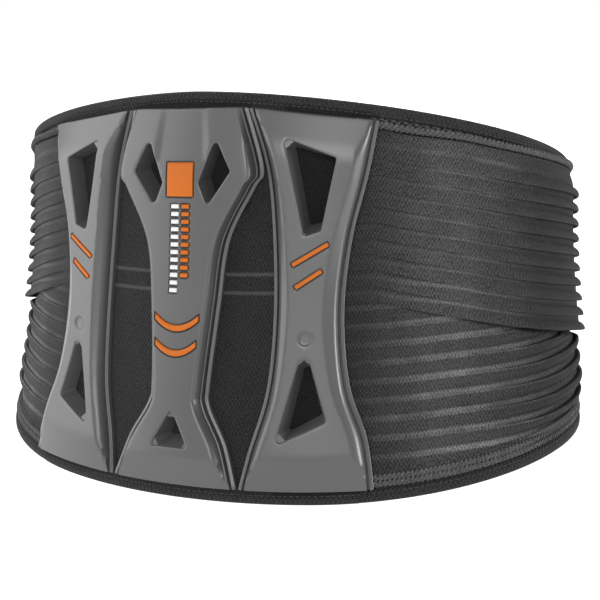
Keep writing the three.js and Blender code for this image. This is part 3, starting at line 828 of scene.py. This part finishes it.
def patch(name, outline, height, material_used, replaced, step=1.2):
    """A thin crowned inlay in its pocket, with a dark rim round its foot."""
    ring = corner_ring(outline, 0.0, step)
    low, high = ring.min(0), ring.max(0)
    gs, gz = np.meshgrid(np.arange(low[0], high[0], step), np.arange(low[1], high[1], step))
    keep = polygon_distance(gs, gz, ring) < -0.55 * step
    shoulder = corner_ring(outline, -INLAY_ROUND * 0.5, step)
    verts, faces, _ids = triangulated([(ring, True), (shoulder, True)], np.column_stack([gs[keep], gz[keep]]))
    depth = np.clip(-polygon_distance(verts[:, 0], verts[:, 1], ring) / INLAY_ROUND, 0, 1)
    crown = INLAY_PROUD - INLAY_ROUND * (1 - np.sqrt(1 - (1 - depth) ** 2))
    base = height(verts[:, 0], verts[:, 1]) + POCKET
    top = wall(verts[:, 0], verts[:, 1], base + crown)
    loop = np.array(border_loops(faces)[0])
    foot = wall(verts[loop, 0], verts[loop, 1], base[loop] - POCKET + 0.1)
    around = np.roll(verts[loop], -1, 0) - np.roll(verts[loop], 1, 0)
    away = np.column_stack([around[:, 1], -around[:, 0]])
    away /= np.linalg.norm(away, axis=1)[:, None]
    if polygon_distance(*(verts[loop][:1] + away[:1] * 0.1).T, ring)[0] < 0:
        away = -away
    rim_at = verts[loop] + away * RIM_WIDTH
    rim = wall(rim_at[:, 0], rim_at[:, 1], base[loop] - POCKET + 0.1)
    count, n = len(verts), len(loop)
    next_one = [(k + 1) % n for k in range(n)]
    faces += [(int(loop[k1]), int(loop[k]), count + k, count + k1) for k, k1 in enumerate(next_one)]
    dark_from = len(faces)
    faces += [(count + k1, count + k, count + n + k, count + n + k1) for k, k1 in enumerate(next_one)]
    obj = new_object(name, np.vstack([top, foot, rim]), faces, None, material_used)
    obj.data.materials.append(DARK_RIM)
    for polygon in obj.data.polygons[dark_from:]:
        polygon.material_index = 1
    return declare(obj, [replaced], "back")


def window_rings(windows):
    rings = []
    for face, radius, hole in windows:
        rings += [rounded_ring(face, radius, push) for push in (0.0, 0.15, 0.4, RIM)]
        rings.append(rounded_ring(hole, HOLE_RADIUS, 0.0, step=1.0))
    return rings


def pocket_rings(outlines):
    return [corner_ring(outline, push) for outline in outlines for push in (POCKET_GAP, POCKET_GAP + 0.3)]


def build_stays():
    center_rings = window_rings(CENTER_WINDOWS) + pocket_rings(CHEVRON_OUTLINES + [BADGE] + TILES)
    stay_piece("center_stay_moulding", lambda z: -CENTER_FN(z), CENTER_FN, center_height, center_rings,
               CENTER_WINDOWS, None, CENTER_FLANK_STEPS, "center_stay")
    dimple = [circle_ring(DIMPLE, DIMPLE[2] - inset) for inset in (0, 0.45, 0.9)]
    side_rings = window_rings(SIDE_WINDOWS) + pocket_rings(BAR_OUTLINES) + dimple
    stay_piece("right_stay_moulding", INNER_FN, OUTER_FN, side_height, side_rings, SIDE_WINDOWS,
               (inner_crest, outer_crest), FLANK_STEPS, "right_stay")
    flip = np.array([-1.0, 1.0])
    left_windows = [(mirrored(face), radius, mirrored(hole)) for face, radius, hole in SIDE_WINDOWS]
    stay_piece("left_stay_moulding", lambda z: -OUTER_FN(z), lambda z: -INNER_FN(z), side_height,
               [(ring * flip)[::-1] for ring in side_rings], left_windows, (outer_crest, inner_crest),
               FLANK_STEPS, "left_stay")
    for name, outline in zip(("chevron_upper", "chevron_lower", "center_badge"), CHEVRON_OUTLINES + [BADGE]):
        patch(f"{name}_inlay", outline, center_height, ORANGE, name)
    for i, tile in enumerate(TILES):
        finish, tone = (LIGHT, "light") if i < LIGHT_DASHES else (ORANGE, "orange")
        patch(f"center_dash_{i + 1}", tile, center_height, finish, f"center_strip_{tone}")
    for side, shapes in (("right", BAR_OUTLINES), ("left", [mirrored(b) for b in BAR_OUTLINES])):
        for level, shape in zip(("upper", "lower"), shapes):
            name = f"{side}_bar_{level}"
            patch(f"{name}_inlay", shape, side_height, ORANGE, name)


build_stays()

# ---------- fabric ----------
WING_SEAM = 111.8
SPLIT = 266.0
FLAP_SEAM = 302.0
TAB_SEAM = 309.0
SIDES = (("right", 1), ("left", -1))


def seam_frame(s, low, high, sign):
    """Middle of a seam and the direction across it, at right angles to the seam line."""
    a = Vector(wall(sign * s, low, 1.5))
    b = Vector(wall(sign * s, high, 1.5))
    up = (b - a).normalized()
    middle = (a + b) / 2
    mid_z = (low + high) / 2
    across = Vector(wall(sign * (s + 4), mid_z, 0)) - Vector(wall(sign * (s - 4), mid_z, 0))
    across = (across - across.dot(up) * up).normalized()
    return middle, across


def blend_over(obj, seam, sign):
    place = {"wing": (WING_SEAM, 8, 200), "flap": (FLAP_SEAM, 6, 144), "pull": (TAB_SEAM, 30, 110)}[seam]
    middle, across = seam_frame(*place, sign)
    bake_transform(obj)


def tuck(s, sign):
    return -TUCK_DEPTH * smooth_step(abs(s), 320, 404) if sign < 0 else 0.0


def panel_layers(side, sign, part, s0, s1, replaced_prefix):
    """Fabric panel and its two bindings over one stretch of the wall."""
    made = []
    run = sign * along(s0, s1, 4.0)

    def dense_panel(s):
        shift = tuck(s, sign)
        low, high = bottom_edge(s) + 3.5, top_edge(s) - 3.5
        z = np.linspace(low, high, 25)
        outer = np.column_stack([z, np.full(25, -2.7 + shift)])
        inner = np.column_stack([z[::-1], np.full(25, -5.0 + shift)])
        return np.vstack([outer, inner])

    fabric = sweep(f"{side}_{part}_fabric", run, dense_panel, PANEL, strip=True)
    made.append(declare(fabric, [f"{side}_{replaced_prefix}_panel"]))
    for edge in ("top", "bottom"):
        def tape(s, edge=edge):
            shift = tuck(s, sign)
            low = top_edge(s) - BINDING_HEIGHT if edge == "top" else bottom_edge(s)
            return tape_section(low, low + BINDING_HEIGHT, -5.8 + shift, -1.0 + shift, 0.35, 1.9)

        obj = sweep(f"{side}_{part}_{edge}_tape", run, tape, BINDING)
        made.append(declare(obj, [f"{side}_{replaced_prefix}_{edge}_binding"]))
    return made


RIB_SHAPE = ((0.0, 0.0), (0.48, 0.0), (0.53, 0.28), (0.6, 0.54), (0.7, 0.78), (0.81, 0.93), (0.92, 1.0),
             (1.02, 0.98), (1.09, 0.84), (1.09, 0.6), (1.03, 0.3), (1.0, 0.05))


def rib_profile(count, pitch, start, hook_up):
    """(across, height 0 to 1) for a run of saw-tooth ribs: each has a recess, a slope and an undercut."""
    pts = [(start + (k + x) * pitch, y) for k in range(count) for x, y in RIB_SHAPE]
    pts.append((start + count * pitch, 0.0))
    pts = np.array(pts)
    if not hook_up:
        pts[:, 0] = 2 * start + count * pitch - pts[:, 0]
        pts = pts[::-1]
    return pts


def stay_cover(s, z):
    """0 beside the outer stay's edge, rising to 1 well clear of it."""
    return smooth_step(abs(s) - OUTER_FN(z), 1.0, 42.0)


STRAP_END = 315.0
REST_RELIEF = 0.8
RIB_RELIEF = 0.7
SIDE_RELIEF = 2.9
LOWER_BASE = -2.2


def rib_relief(s, z):
    """Rib height: flat at the stay and at the sewn end, deepest at the side of the waist."""
    at = abs(s)
    side = RIB_RELIEF * stay_cover(s, z)
    side = side + SIDE_RELIEF * smooth_step(at, 165, 212) * (1 - 0.4 * smooth_step(at, 222, 262))
    return REST_RELIEF + side * (1 - smooth_step(at, 262, STRAP_END - 8))


def side_bulge(s):
    """0 to 1: how far the straps stand off the wing, most at the side of the waist."""
    return smooth_step(abs(s), 150, 214) * (1 - smooth_step(abs(s), 255, STRAP_END - 8))


def upper_bulge(s, z):
    below = upper_strap_top(s) - z
    return side_bulge(s) * smooth_step(below, 0.5, 9.0) * (3.4 + 0.034 * np.maximum(0, below))


def lower_strap_sag(s):
    return 0.035 * max(0.0, abs(s) - 150)


def lower_strap(side, sign, part, s0, s1):
    run = sign * along(s0, s1, 3.0)
    first = LOWER_FIRST - 0.18 * LOWER_PITCH

    def section(s):
        base = bottom_edge(s) + BINDING_HEIGHT + 0.9
        top = max(97.0, upper_strap_bottom(s) + 4)
        ribs = rib_profile(7, LOWER_PITCH, first - lower_strap_sag(s), True)
        ribs[:, 0] = np.maximum(ribs[:, 0], base + 8.2)
        z = np.concatenate([[base, base + 0.2, base + 7.9, base + 8.1], ribs[:, 0],
                            [ribs[-1, 0] + 5.0, top - 0.5, top]])
        y = np.concatenate([[0.0, 0.5, 0.5, 0.1], ribs[:, 1], [0.55, 0.55, 0.0]])
        under = smooth_step(z, upper_strap_bottom(s) - 3.0, upper_strap_bottom(s) + 0.5)
        bulge = 4.0 * side_bulge(s) * smooth_step(z, base + 6, base + 20)
        h = LOWER_BASE + bulge * (1 - under) + y * rib_relief(s, z) * (1 - under)
        z = np.minimum(z, top)
        under_side = np.column_stack([z[::-1], np.full(len(z), LOWER_BASE - 0.35)])
        return np.vstack([np.column_stack([z, h]), under_side])

    obj = sweep(f"{side}_lower_strap_{part}", run, section, LOWER,
                offset_v=lambda s: -lower_strap_sag(s), strip=True)
    return declare(obj, [f"{side}_lower_strap"])


def strap_lift(s):
    return 1.7 * smooth_step(abs(s), 109, 130)


UPPER_BASE = -2.1


def upper_strap(side, sign, part, s0, s1):
    run = sign * along(s0, s1, 3.0)
    recess = 0.16 * UPPER_PITCH

    def section(s):
        top, low = upper_strap_top(s), upper_strap_bottom(s)
        ribs = rib_profile(10, UPPER_PITCH, UPPER_FIRST + recess - 10 * UPPER_PITCH, False)
        ribs[:, 1] = np.where(ribs[:, 0] < 1.2 - STRAP_WIDTH, 1.0, ribs[:, 1])
        ribs[:, 0] = np.maximum(ribs[:, 0], 1.2 - STRAP_WIDTH)
        v = np.concatenate([np.array([0, 0.2, 0.9]) - STRAP_WIDTH, ribs[:, 0], [-3.0, -1.2, -0.3, 0]])
        y = np.concatenate([[0.4, 0.8, 1.0], ribs[:, 1], [0.0] * 4])
        rest = np.concatenate([np.zeros(len(ribs) + 3), [0.75, 0.8, 0.55, 0.0]]) * REST_RELIEF
        z = low + (v + STRAP_WIDTH) / STRAP_WIDTH * (top - low)
        base = UPPER_BASE + strap_lift(s) + upper_bulge(s, z)
        outer = np.column_stack([z, base + rest + y * rib_relief(s, z)])
        return np.vstack([outer, np.column_stack([z, base - 0.35])[::-1]])

    obj = sweep(f"{side}_upper_strap_{part}", run, section, UPPER, offset_v=upper_strap_top, strip=True)
    return declare(obj, [f"{side}_upper_strap"])


def tube_faces(start, rings, sides, turned):
    """Side quads and end caps of a tube whose rings follow each other from vertex start."""
    faces = []
    for i in range(rings - 1):
        here, ahead = start + i * sides, start + (i + 1) * sides
        for j in range(sides):
            j1 = (j + 1) % sides
            quad = (here + j, ahead + j, ahead + j1, here + j1)
            faces.append((quad[0], quad[3], quad[2], quad[1]) if turned else quad)
    first = tuple(range(start, start + sides))
    last = tuple(range(start + (rings - 1) * sides, start + rings * sides))
    return faces + ([first[::-1], last] if turned else [first, last[::-1]])


def braid(name, svals, path, strands, radius, pitch, swing, sides=7):
    """Twisted strands carried along the wall; path(s) gives height and offset of the middle."""
    points, faces, uvs = [], [], []
    start = 0
    ring = np.linspace(0, 2 * math.pi, sides, endpoint=False)
    for k in range(strands):
        phase = 2 * math.pi * k / strands
        for s in svals:
            z, h = path(s)
            turn = 2 * math.pi * s / pitch + phase
            cz, ch = z + swing[0] * math.sin(turn), h + swing[1] * math.cos(turn)
            points.append(wall(s, cz + radius * np.sin(ring), ch + radius * np.cos(ring)))
            uvs.append(np.column_stack([np.full(sides, s), ring * radius + k * 9]))
        faces += tube_faces(start, len(svals), sides, False)
        start += len(svals) * sides
    obj = new_object(name, np.concatenate(points), faces, np.concatenate(uvs), BRAID)
    return declare(obj)


def threads(name, lines, radius, material_used, sides=5):
    """Thin tubes along lines of (s, z, h) points on the wall."""
    points, faces, uvs = [], [], []
    start = 0
    ring = np.linspace(0, 2 * math.pi, sides, endpoint=False)
    for line in lines:
        line = np.asarray(line, float)
        middle = wall(line[:, 0], line[:, 1], line[:, 2])
        out = wall(line[:, 0], line[:, 1], line[:, 2] + 1) - middle
        out /= np.linalg.norm(out, axis=1, keepdims=True)
        run = np.gradient(middle, axis=0)
        side = np.cross(run, out)
        side /= np.linalg.norm(side, axis=1, keepdims=True)
        for i, spot in enumerate(line):
            turn = np.outer(np.cos(ring), side[i]) + np.outer(np.sin(ring), out[i])
            points.append(middle[i] + radius * MM * turn)
            uvs.append(np.column_stack([np.full(sides, spot[0] + spot[1]), ring]))
        faces += tube_faces(start, len(line), sides, True)
        start += len(line) * sides
    return new_object(name, np.concatenate(points), faces, np.concatenate(uvs), material_used)


STITCH_PITCH = 3.1
STITCH_LENGTH = 2.1
STITCH_RADIUS = 0.3
STITCH_AT = (-0.5, -0.25, 0.25, 0.5)


def stitch_row(name, svals, path):
    """Stitches along path(s) = (z, h); each dips into the cloth at both ends."""
    lines = []
    for s in svals:
        line = []
        for t in STITCH_AT:
            at = s + t * STITCH_LENGTH
            z, h = path(at)
            line.append((at, z, h - (0.45 if abs(t) > 0.3 else 0.0)))
        lines.append(line)
    return declare(threads(name, lines, STITCH_RADIUS, STITCH))


def edge_stitches(name, s0, s1, sign, face=-1.0, shifted=True):
    """Stitch rows along the inner margins of the top and bottom bindings."""
    run = sign * np.arange(s0 + STITCH_PITCH / 2, s1 - STITCH_PITCH / 2, STITCH_PITCH)
    rows = []
    for edge, level in (("top", lambda s: top_edge(s) - BINDING_HEIGHT + 1.5),
                        ("bottom", lambda s: bottom_edge(s) + BINDING_HEIGHT - 1.5)):
        rows.append(stitch_row(f"{name}_{edge}_stitches", run, lambda s, f=level: (
            f(s), face + (tuck(s, sign) if shifted else 0.0) + 0.2)))
    return rows


def build_side(side, sign):
    near = panel_layers(side, sign, "wing_near", BACK_HALF - 8, SPLIT, "wing")
    far = panel_layers(side, sign, "wing_far", SPLIT, FLAP_SEAM + 12, "wing")
    near.append(lower_strap(side, sign, "near", 86, SPLIT))
    near.append(upper_strap(side, sign, "near", 86, SPLIT))
    far.append(lower_strap(side, sign, "far", SPLIT, STRAP_END))
    far.append(upper_strap(side, sign, "far", SPLIT, STRAP_END))
    for part, s0, s1, group in (("near", 106.5, SPLIT, near), ("far", SPLIT, STRAP_END - 1, far)):
        run = sign * along(s0, s1, 0.9)
        group.append(braid(f"{side}_upper_braid_{part}", run,
                           lambda s: (upper_strap_top(s) + 2.7, -1.2 + strap_lift(s)),
                           2, 1.15, 5.6, (1.0, 0.5)))
        for row, rise in enumerate((2.3, 5.3)):
            group.append(braid(f"{side}_lower_braid_{part}_{row}", run,
                               lambda s, r=rise: (bottom_edge(s) + BINDING_HEIGHT + 0.4 + r, -0.9),
                               2, 0.95, 4.8, (0.85, 0.4)))
        group += edge_stitches(f"{side}_{part}", BACK_HALF - 2 if part == "near" else s0, s1, sign)
        group.append(stitch_row(f"{side}_upper_braid_{part}_stitches",
                                sign * np.arange(max(s0, 112) + 2, s1 - 2, STITCH_PITCH), lambda s: (
                                    upper_strap_top(s) - 0.6, UPPER_BASE + strap_lift(s) + REST_RELIEF)))
    for inset in (3.0, 8.0):
        s = STRAP_END - inset
        lift = UPPER_BASE + strap_lift(s) + REST_RELIEF + 0.25
        low = bottom_edge(s) + BINDING_HEIGHT + 4
        lines = []
        for z in np.arange(low, upper_strap_top(s) - 2, STITCH_PITCH):
            h = lift if z > upper_strap_bottom(s) + 2 else LOWER_BASE + REST_RELIEF + 0.9
            lines.append([(sign * s, z + t * STITCH_LENGTH, h - (0.4 if abs(t) > 0.3 else 0.0))
                          for t in STITCH_AT])
        row = threads(f"{side}_strap_end_stitches_{int(inset)}", lines, STITCH_RADIUS, STITCH)
        far.append(declare(row))
    for obj in near:
        blend_over(obj, "wing", sign)
    for obj in far:
        blend_over(obj, "flap", sign)
    flap = panel_layers(side, sign, "flap", FLAP_SEAM + 12, FLAP_END - 3, "flap")
    flap += edge_stitches(f"{side}_flap", STRAP_END, FLAP_END - 4, sign)
    for obj in flap:
        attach(obj, f"{side}_flap")
    run = sign * along(FLAP_END - BINDING_HEIGHT, FLAP_END, 1.1)

    def end_section(s):
        t = (abs(s) - (FLAP_END - BINDING_HEIGHT)) / BINDING_HEIGHT
        shift = tuck(s, sign)
        thick = 2.4 * math.sqrt(max(0.03, 1 - (2 * t - 1) ** 4))
        return tape_section(bottom_edge(s) + 0.2, top_edge(s) - 0.2,
                            -3.4 - thick + shift, -3.4 + thick + shift, 0, 1.2)

    end = sweep(f"{side}_flap_end_tape", run, end_section, BINDING)
    declare(end, [f"{side}_flap_end_binding"], f"{side}_flap")


for side_name, side_sign in SIDES:
    build_side(side_name, side_sign)


def build_back():
    run = along(-BACK_HALF + 8, BACK_HALF - 8, 3.0)

    def panel(s):
        low, high = bottom_edge(s) + 3.5, top_edge(s) - 3.5
        z = np.linspace(low, high, 40)
        face = -0.35 - 2.45 * smooth_step(abs(s), 85, 89) * (1 - smooth_step(z, 194, 199))
        return np.vstack([np.column_stack([z, face]), np.column_stack([z[::-1], np.full(40, -5.0)])])

    fabric = sweep("back_fabric", run, panel, KNIT, strip=True)
    declare(fabric, ["back_shell", "back_elastic_upper", "back_elastic_lower"], "back")
    for edge in ("top", "bottom"):
        def tape(s, edge=edge):
            low = top_edge(s) - BINDING_HEIGHT if edge == "top" else bottom_edge(s)
            return tape_section(low, low + BINDING_HEIGHT, -5.8, -0.4, 0.5, 2.3)

        obj = sweep(f"back_{edge}_tape", run, tape, BINDING)
        declare(obj, [f"back_{edge}_binding"], "back")
    for row in edge_stitches("back", -BACK_HALF + 6, BACK_HALF - 6, 1, -0.2, False):
        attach(row, "back")


build_back()


TAB_ROOT, TAB_TIP, TAB_ROUND = 309, 388, (376, 389)
HOOK_START, HOOK_END = 324, 374


def tab_middle(s):
    return 68 - 6 * (s - TAB_ROOT) / (TAB_TIP - TAB_ROOT)


def tab_half(s):
    """Half the tab's height: it narrows evenly, then rounds off at the tip."""
    return 48 - 18 * (s - TAB_ROOT) / (TAB_TIP - TAB_ROOT) - 10 * smooth_step(s, *TAB_ROUND) ** 2


def build_front():
    """Pull tabs and the hook and loop patches."""
    for side, sign in SIDES:
        def tab(s):
            middle, half, shift = tab_middle(abs(s)), tab_half(abs(s)), tuck(s, sign)
            return tape_section(middle - half, middle + half, -1.4 + shift, 1.6 + shift, 0.3, 1.4)

        obj = sweep(f"{side}_pull_tab", sign * along(TAB_ROOT, TAB_TIP, 3.0), tab, TAB)
        declare(obj, [f"{side}_tab"])
        blend_over(obj, "pull", sign)

        run = along(TAB_ROOT + 2, TAB_TIP - 1, 3.0)
        rim = [(s, tab_middle(s) + tab_half(s) - 1.6) for s in run]
        rim += [(s, tab_middle(s) - tab_half(s) + 1.6) for s in run[::-1]]
        line = [(sign * s, z, 1.75 + tuck(sign * s, sign)) for s, z in rim]
        piping = threads(f"{side}_pull_tab_piping", [line], 1.2, BINDING, 8)
        blend_over(declare(piping), "pull", sign)

        def hook(s):
            t = (abs(s) - HOOK_START) / (HOOK_END - HOOK_START)
            shift = tuck(s, sign)
            return tape_section(68 - 6 * t - 34 + 8 * t, 68 - 6 * t + 34 - 8 * t,
                                -2.6 + shift, -1.45 + shift, 0, 0.4)

        pad = sweep(f"{side}_pull_hook", sign * along(HOOK_START, HOOK_END, 3.0), hook, HOOK)
        declare(pad, [f"{side}_tab_hook"], f"{side}_pull")
    hook = sweep("outer_flap_hook", along(FRONT_CENTER - 44, FRONT_CENTER + 52, 3.0),
                 lambda s: tape_section(16, 106, -6.2, -5.0, 0, 0.4), HOOK)
    declare(hook, ["right_flap_hook"], "right_flap")
    loop = sweep("inner_flap_loop", -along(FRONT_CENTER - 70, FRONT_CENTER + 54, 3.0),
                 lambda s: tape_section(14, 108, -2.9 + tuck(s, -1), -2.2 + tuck(s, -1), 0, 0.3), LINING)
    declare(loop, ["left_flap_loop"], "left_flap")


build_front()


PUFF_PRESSURE = 4.0
PUFF_GROWTH = 0.035
PUFF_LIMIT = 0.004
PUFF_FRAMES = 20


def puff(obj, seams):
    """Cloth inflation of a sewn pad whose seam vertices stay put, capped, then one subdivision."""
    scene = bpy.context.scene
    group = obj.vertex_groups.new(name="seams")
    group.add(seams, 1.0, "REPLACE")
    cloth = obj.modifiers.new("puff", "CLOTH")
    settings = cloth.settings
    settings.vertex_group_mass = "seams"
    settings.quality = 6
    settings.mass = 0.2
    settings.tension_stiffness = settings.compression_stiffness = 12
    settings.bending_stiffness = 0.6
    settings.use_pressure = True
    settings.uniform_pressure_force = PUFF_PRESSURE
    settings.shrink_min = -PUFF_GROWTH
    settings.effector_weights.gravity = 0
    cloth.collision_settings.use_collision = False
    cloth.point_cache.frame_start, cloth.point_cache.frame_end = 1, PUFF_FRAMES
    for frame in range(1, PUFF_FRAMES + 1):
        scene.frame_set(frame)
    posed = obj.evaluated_get(bpy.context.evaluated_depsgraph_get())
    moved = [vertex.co.copy() for vertex in posed.data.vertices]
    obj.modifiers.remove(cloth)
    for vertex, place in zip(obj.data.vertices, moved):
        shift = place - vertex.co
        if shift.length > PUFF_LIMIT:
            shift *= PUFF_LIMIT / shift.length
        vertex.co += shift
    obj.modifiers.new("smooth", "SUBSURF").levels = 1
    smooth = bpy.data.meshes.new_from_object(obj.evaluated_get(bpy.context.evaluated_depsgraph_get()))
    obj.modifiers.clear()
    obj.data = smooth
    scene.frame_set(1)


def build_pad():
    low, high = 11.0, 200.0
    run = along(-101, 101, 4.0)

    def section(s):
        z = np.linspace(low, high, 40)
        dist = np.minimum(np.minimum(z - low, high - z), 101 - abs(s))
        swell = 5.6 * np.sqrt(np.clip(dist / 12.0, 0, 1))
        inner = np.column_stack([z[::-1], -5.4 - swell[::-1]])
        return np.vstack([np.column_stack([z, np.full(40, -5.1)]), inner])

    pad = sweep("back_pad", run, section, LINING, strip=True)
    rows = 80
    seams = [i * rows + j for i, s in enumerate(run) for j in range(rows)
             if j < 40 or min(j - 40, rows - 1 - j) < 2 or min(i, len(run) - 1 - i) < 2]
    puff(pad, seams)
    declare(pad, ["back_foam", "back_lining"], "back")


build_pad()

# ---------- camera, floor and light ----------
AZIMUTH, ELEVATION, ROLL = math.radians(27.785), math.radians(14.48), math.radians(-4.208)
forward = Vector((-math.sin(AZIMUTH) * math.cos(ELEVATION), math.cos(AZIMUTH) * math.cos(ELEVATION),
                  -math.sin(ELEVATION)))
right = Vector((math.cos(AZIMUTH), math.sin(AZIMUTH), 0))
up = right.cross(forward)
turned_right = right * math.cos(ROLL) + up * math.sin(ROLL)
turned_up = up * math.cos(ROLL) - right * math.sin(ROLL)
eye = Vector((0, CENTER_Y * MM, 0.110)) + right * 0.00408 - up * 0.03721 - forward * 0.82307

camera_data = bpy.data.cameras.new("camera")
camera_data.lens = 75.75
camera_data.sensor_width = 36.0
camera = bpy.data.objects.new("camera", camera_data)
bpy.context.scene.collection.objects.link(camera)
turn = Matrix((turned_right, turned_up, -forward)).transposed().to_4x4()
camera.matrix_world = Matrix.Translation(eye) @ turn
bpy.context.scene.camera = camera

floor_mat, _tree, _shader = material("floor_look", (0.5, 0.5, 0.5), 0.8)
_shader.inputs["Emission Color"].default_value = (1, 1, 1, 1)
_shader.inputs["Emission Strength"].default_value = 0.86
floor_mesh = bpy.data.meshes.new("floor")
floor_mesh.from_pydata([(-60, -60, 0), (60, -60, 0), (60, 60, 0), (-60, 60, 0)], [], [(0, 1, 2, 3)])
floor_mesh.materials.append(floor_mat)
floor = bpy.data.objects.new("floor", floor_mesh)
bpy.context.scene.collection.objects.link(floor)


def area_light(name, place, target, size, power):
    data = bpy.data.lights.new(name, "AREA")
    data.size = size
    data.energy = power
    obj = bpy.data.objects.new(name, data)
    obj.location = place
    obj.rotation_euler = (Vector(target) - Vector(place)).to_track_quat("-Z", "Y").to_euler()
    bpy.context.scene.collection.objects.link(obj)


LIGHTS = (
    # name, azimuth from the back, elevation, distance, size, power
    ("key", 18, 32, 2.1, 0.9, 17),
    ("fill", -62, 26, 2.1, 1.9, 33),
    ("middle", 2, 24, 2.3, 1.0, 6),
    ("rim", 98, 6, 2.1, 0.7, 30),
    ("front", 208, 32, 2.4, 1.6, 56),
)
for light_name, azimuth, elevation, reach, size, power in LIGHTS:
    turn_z, turn_up = math.radians(azimuth), math.radians(elevation)
    place = (reach * math.cos(turn_up) * math.sin(turn_z), -reach * math.cos(turn_up) * math.cos(turn_z),
             0.1 + reach * math.sin(turn_up))
    area_light(light_name, place, (0, 0, 0.1), size, power)

# studio surround: white at the horizon, dim overhead
world = bpy.data.worlds.new("studio")
world.use_nodes = True
background = world.node_tree.nodes["Background"]
direction = node(world.node_tree, "ShaderNodeTexCoord").outputs["Generated"]
apart = node(world.node_tree, "ShaderNodeSeparateXYZ")
world.node_tree.links.new(direction, apart.inputs[0])
SKY_STOPS = [(0.03, (1, 1, 1)), (0.22, (0.42, 0.42, 0.42)), (0.5, (0.2, 0.2, 0.21))]
sky = ramp(world.node_tree, apart.outputs[2], SKY_STOPS)
world.node_tree.links.new(sky, background.inputs["Color"])
background.inputs["Strength"].default_value = 1.0
bpy.context.scene.world = world
bpy.context.scene.view_settings.view_transform = "Standard"
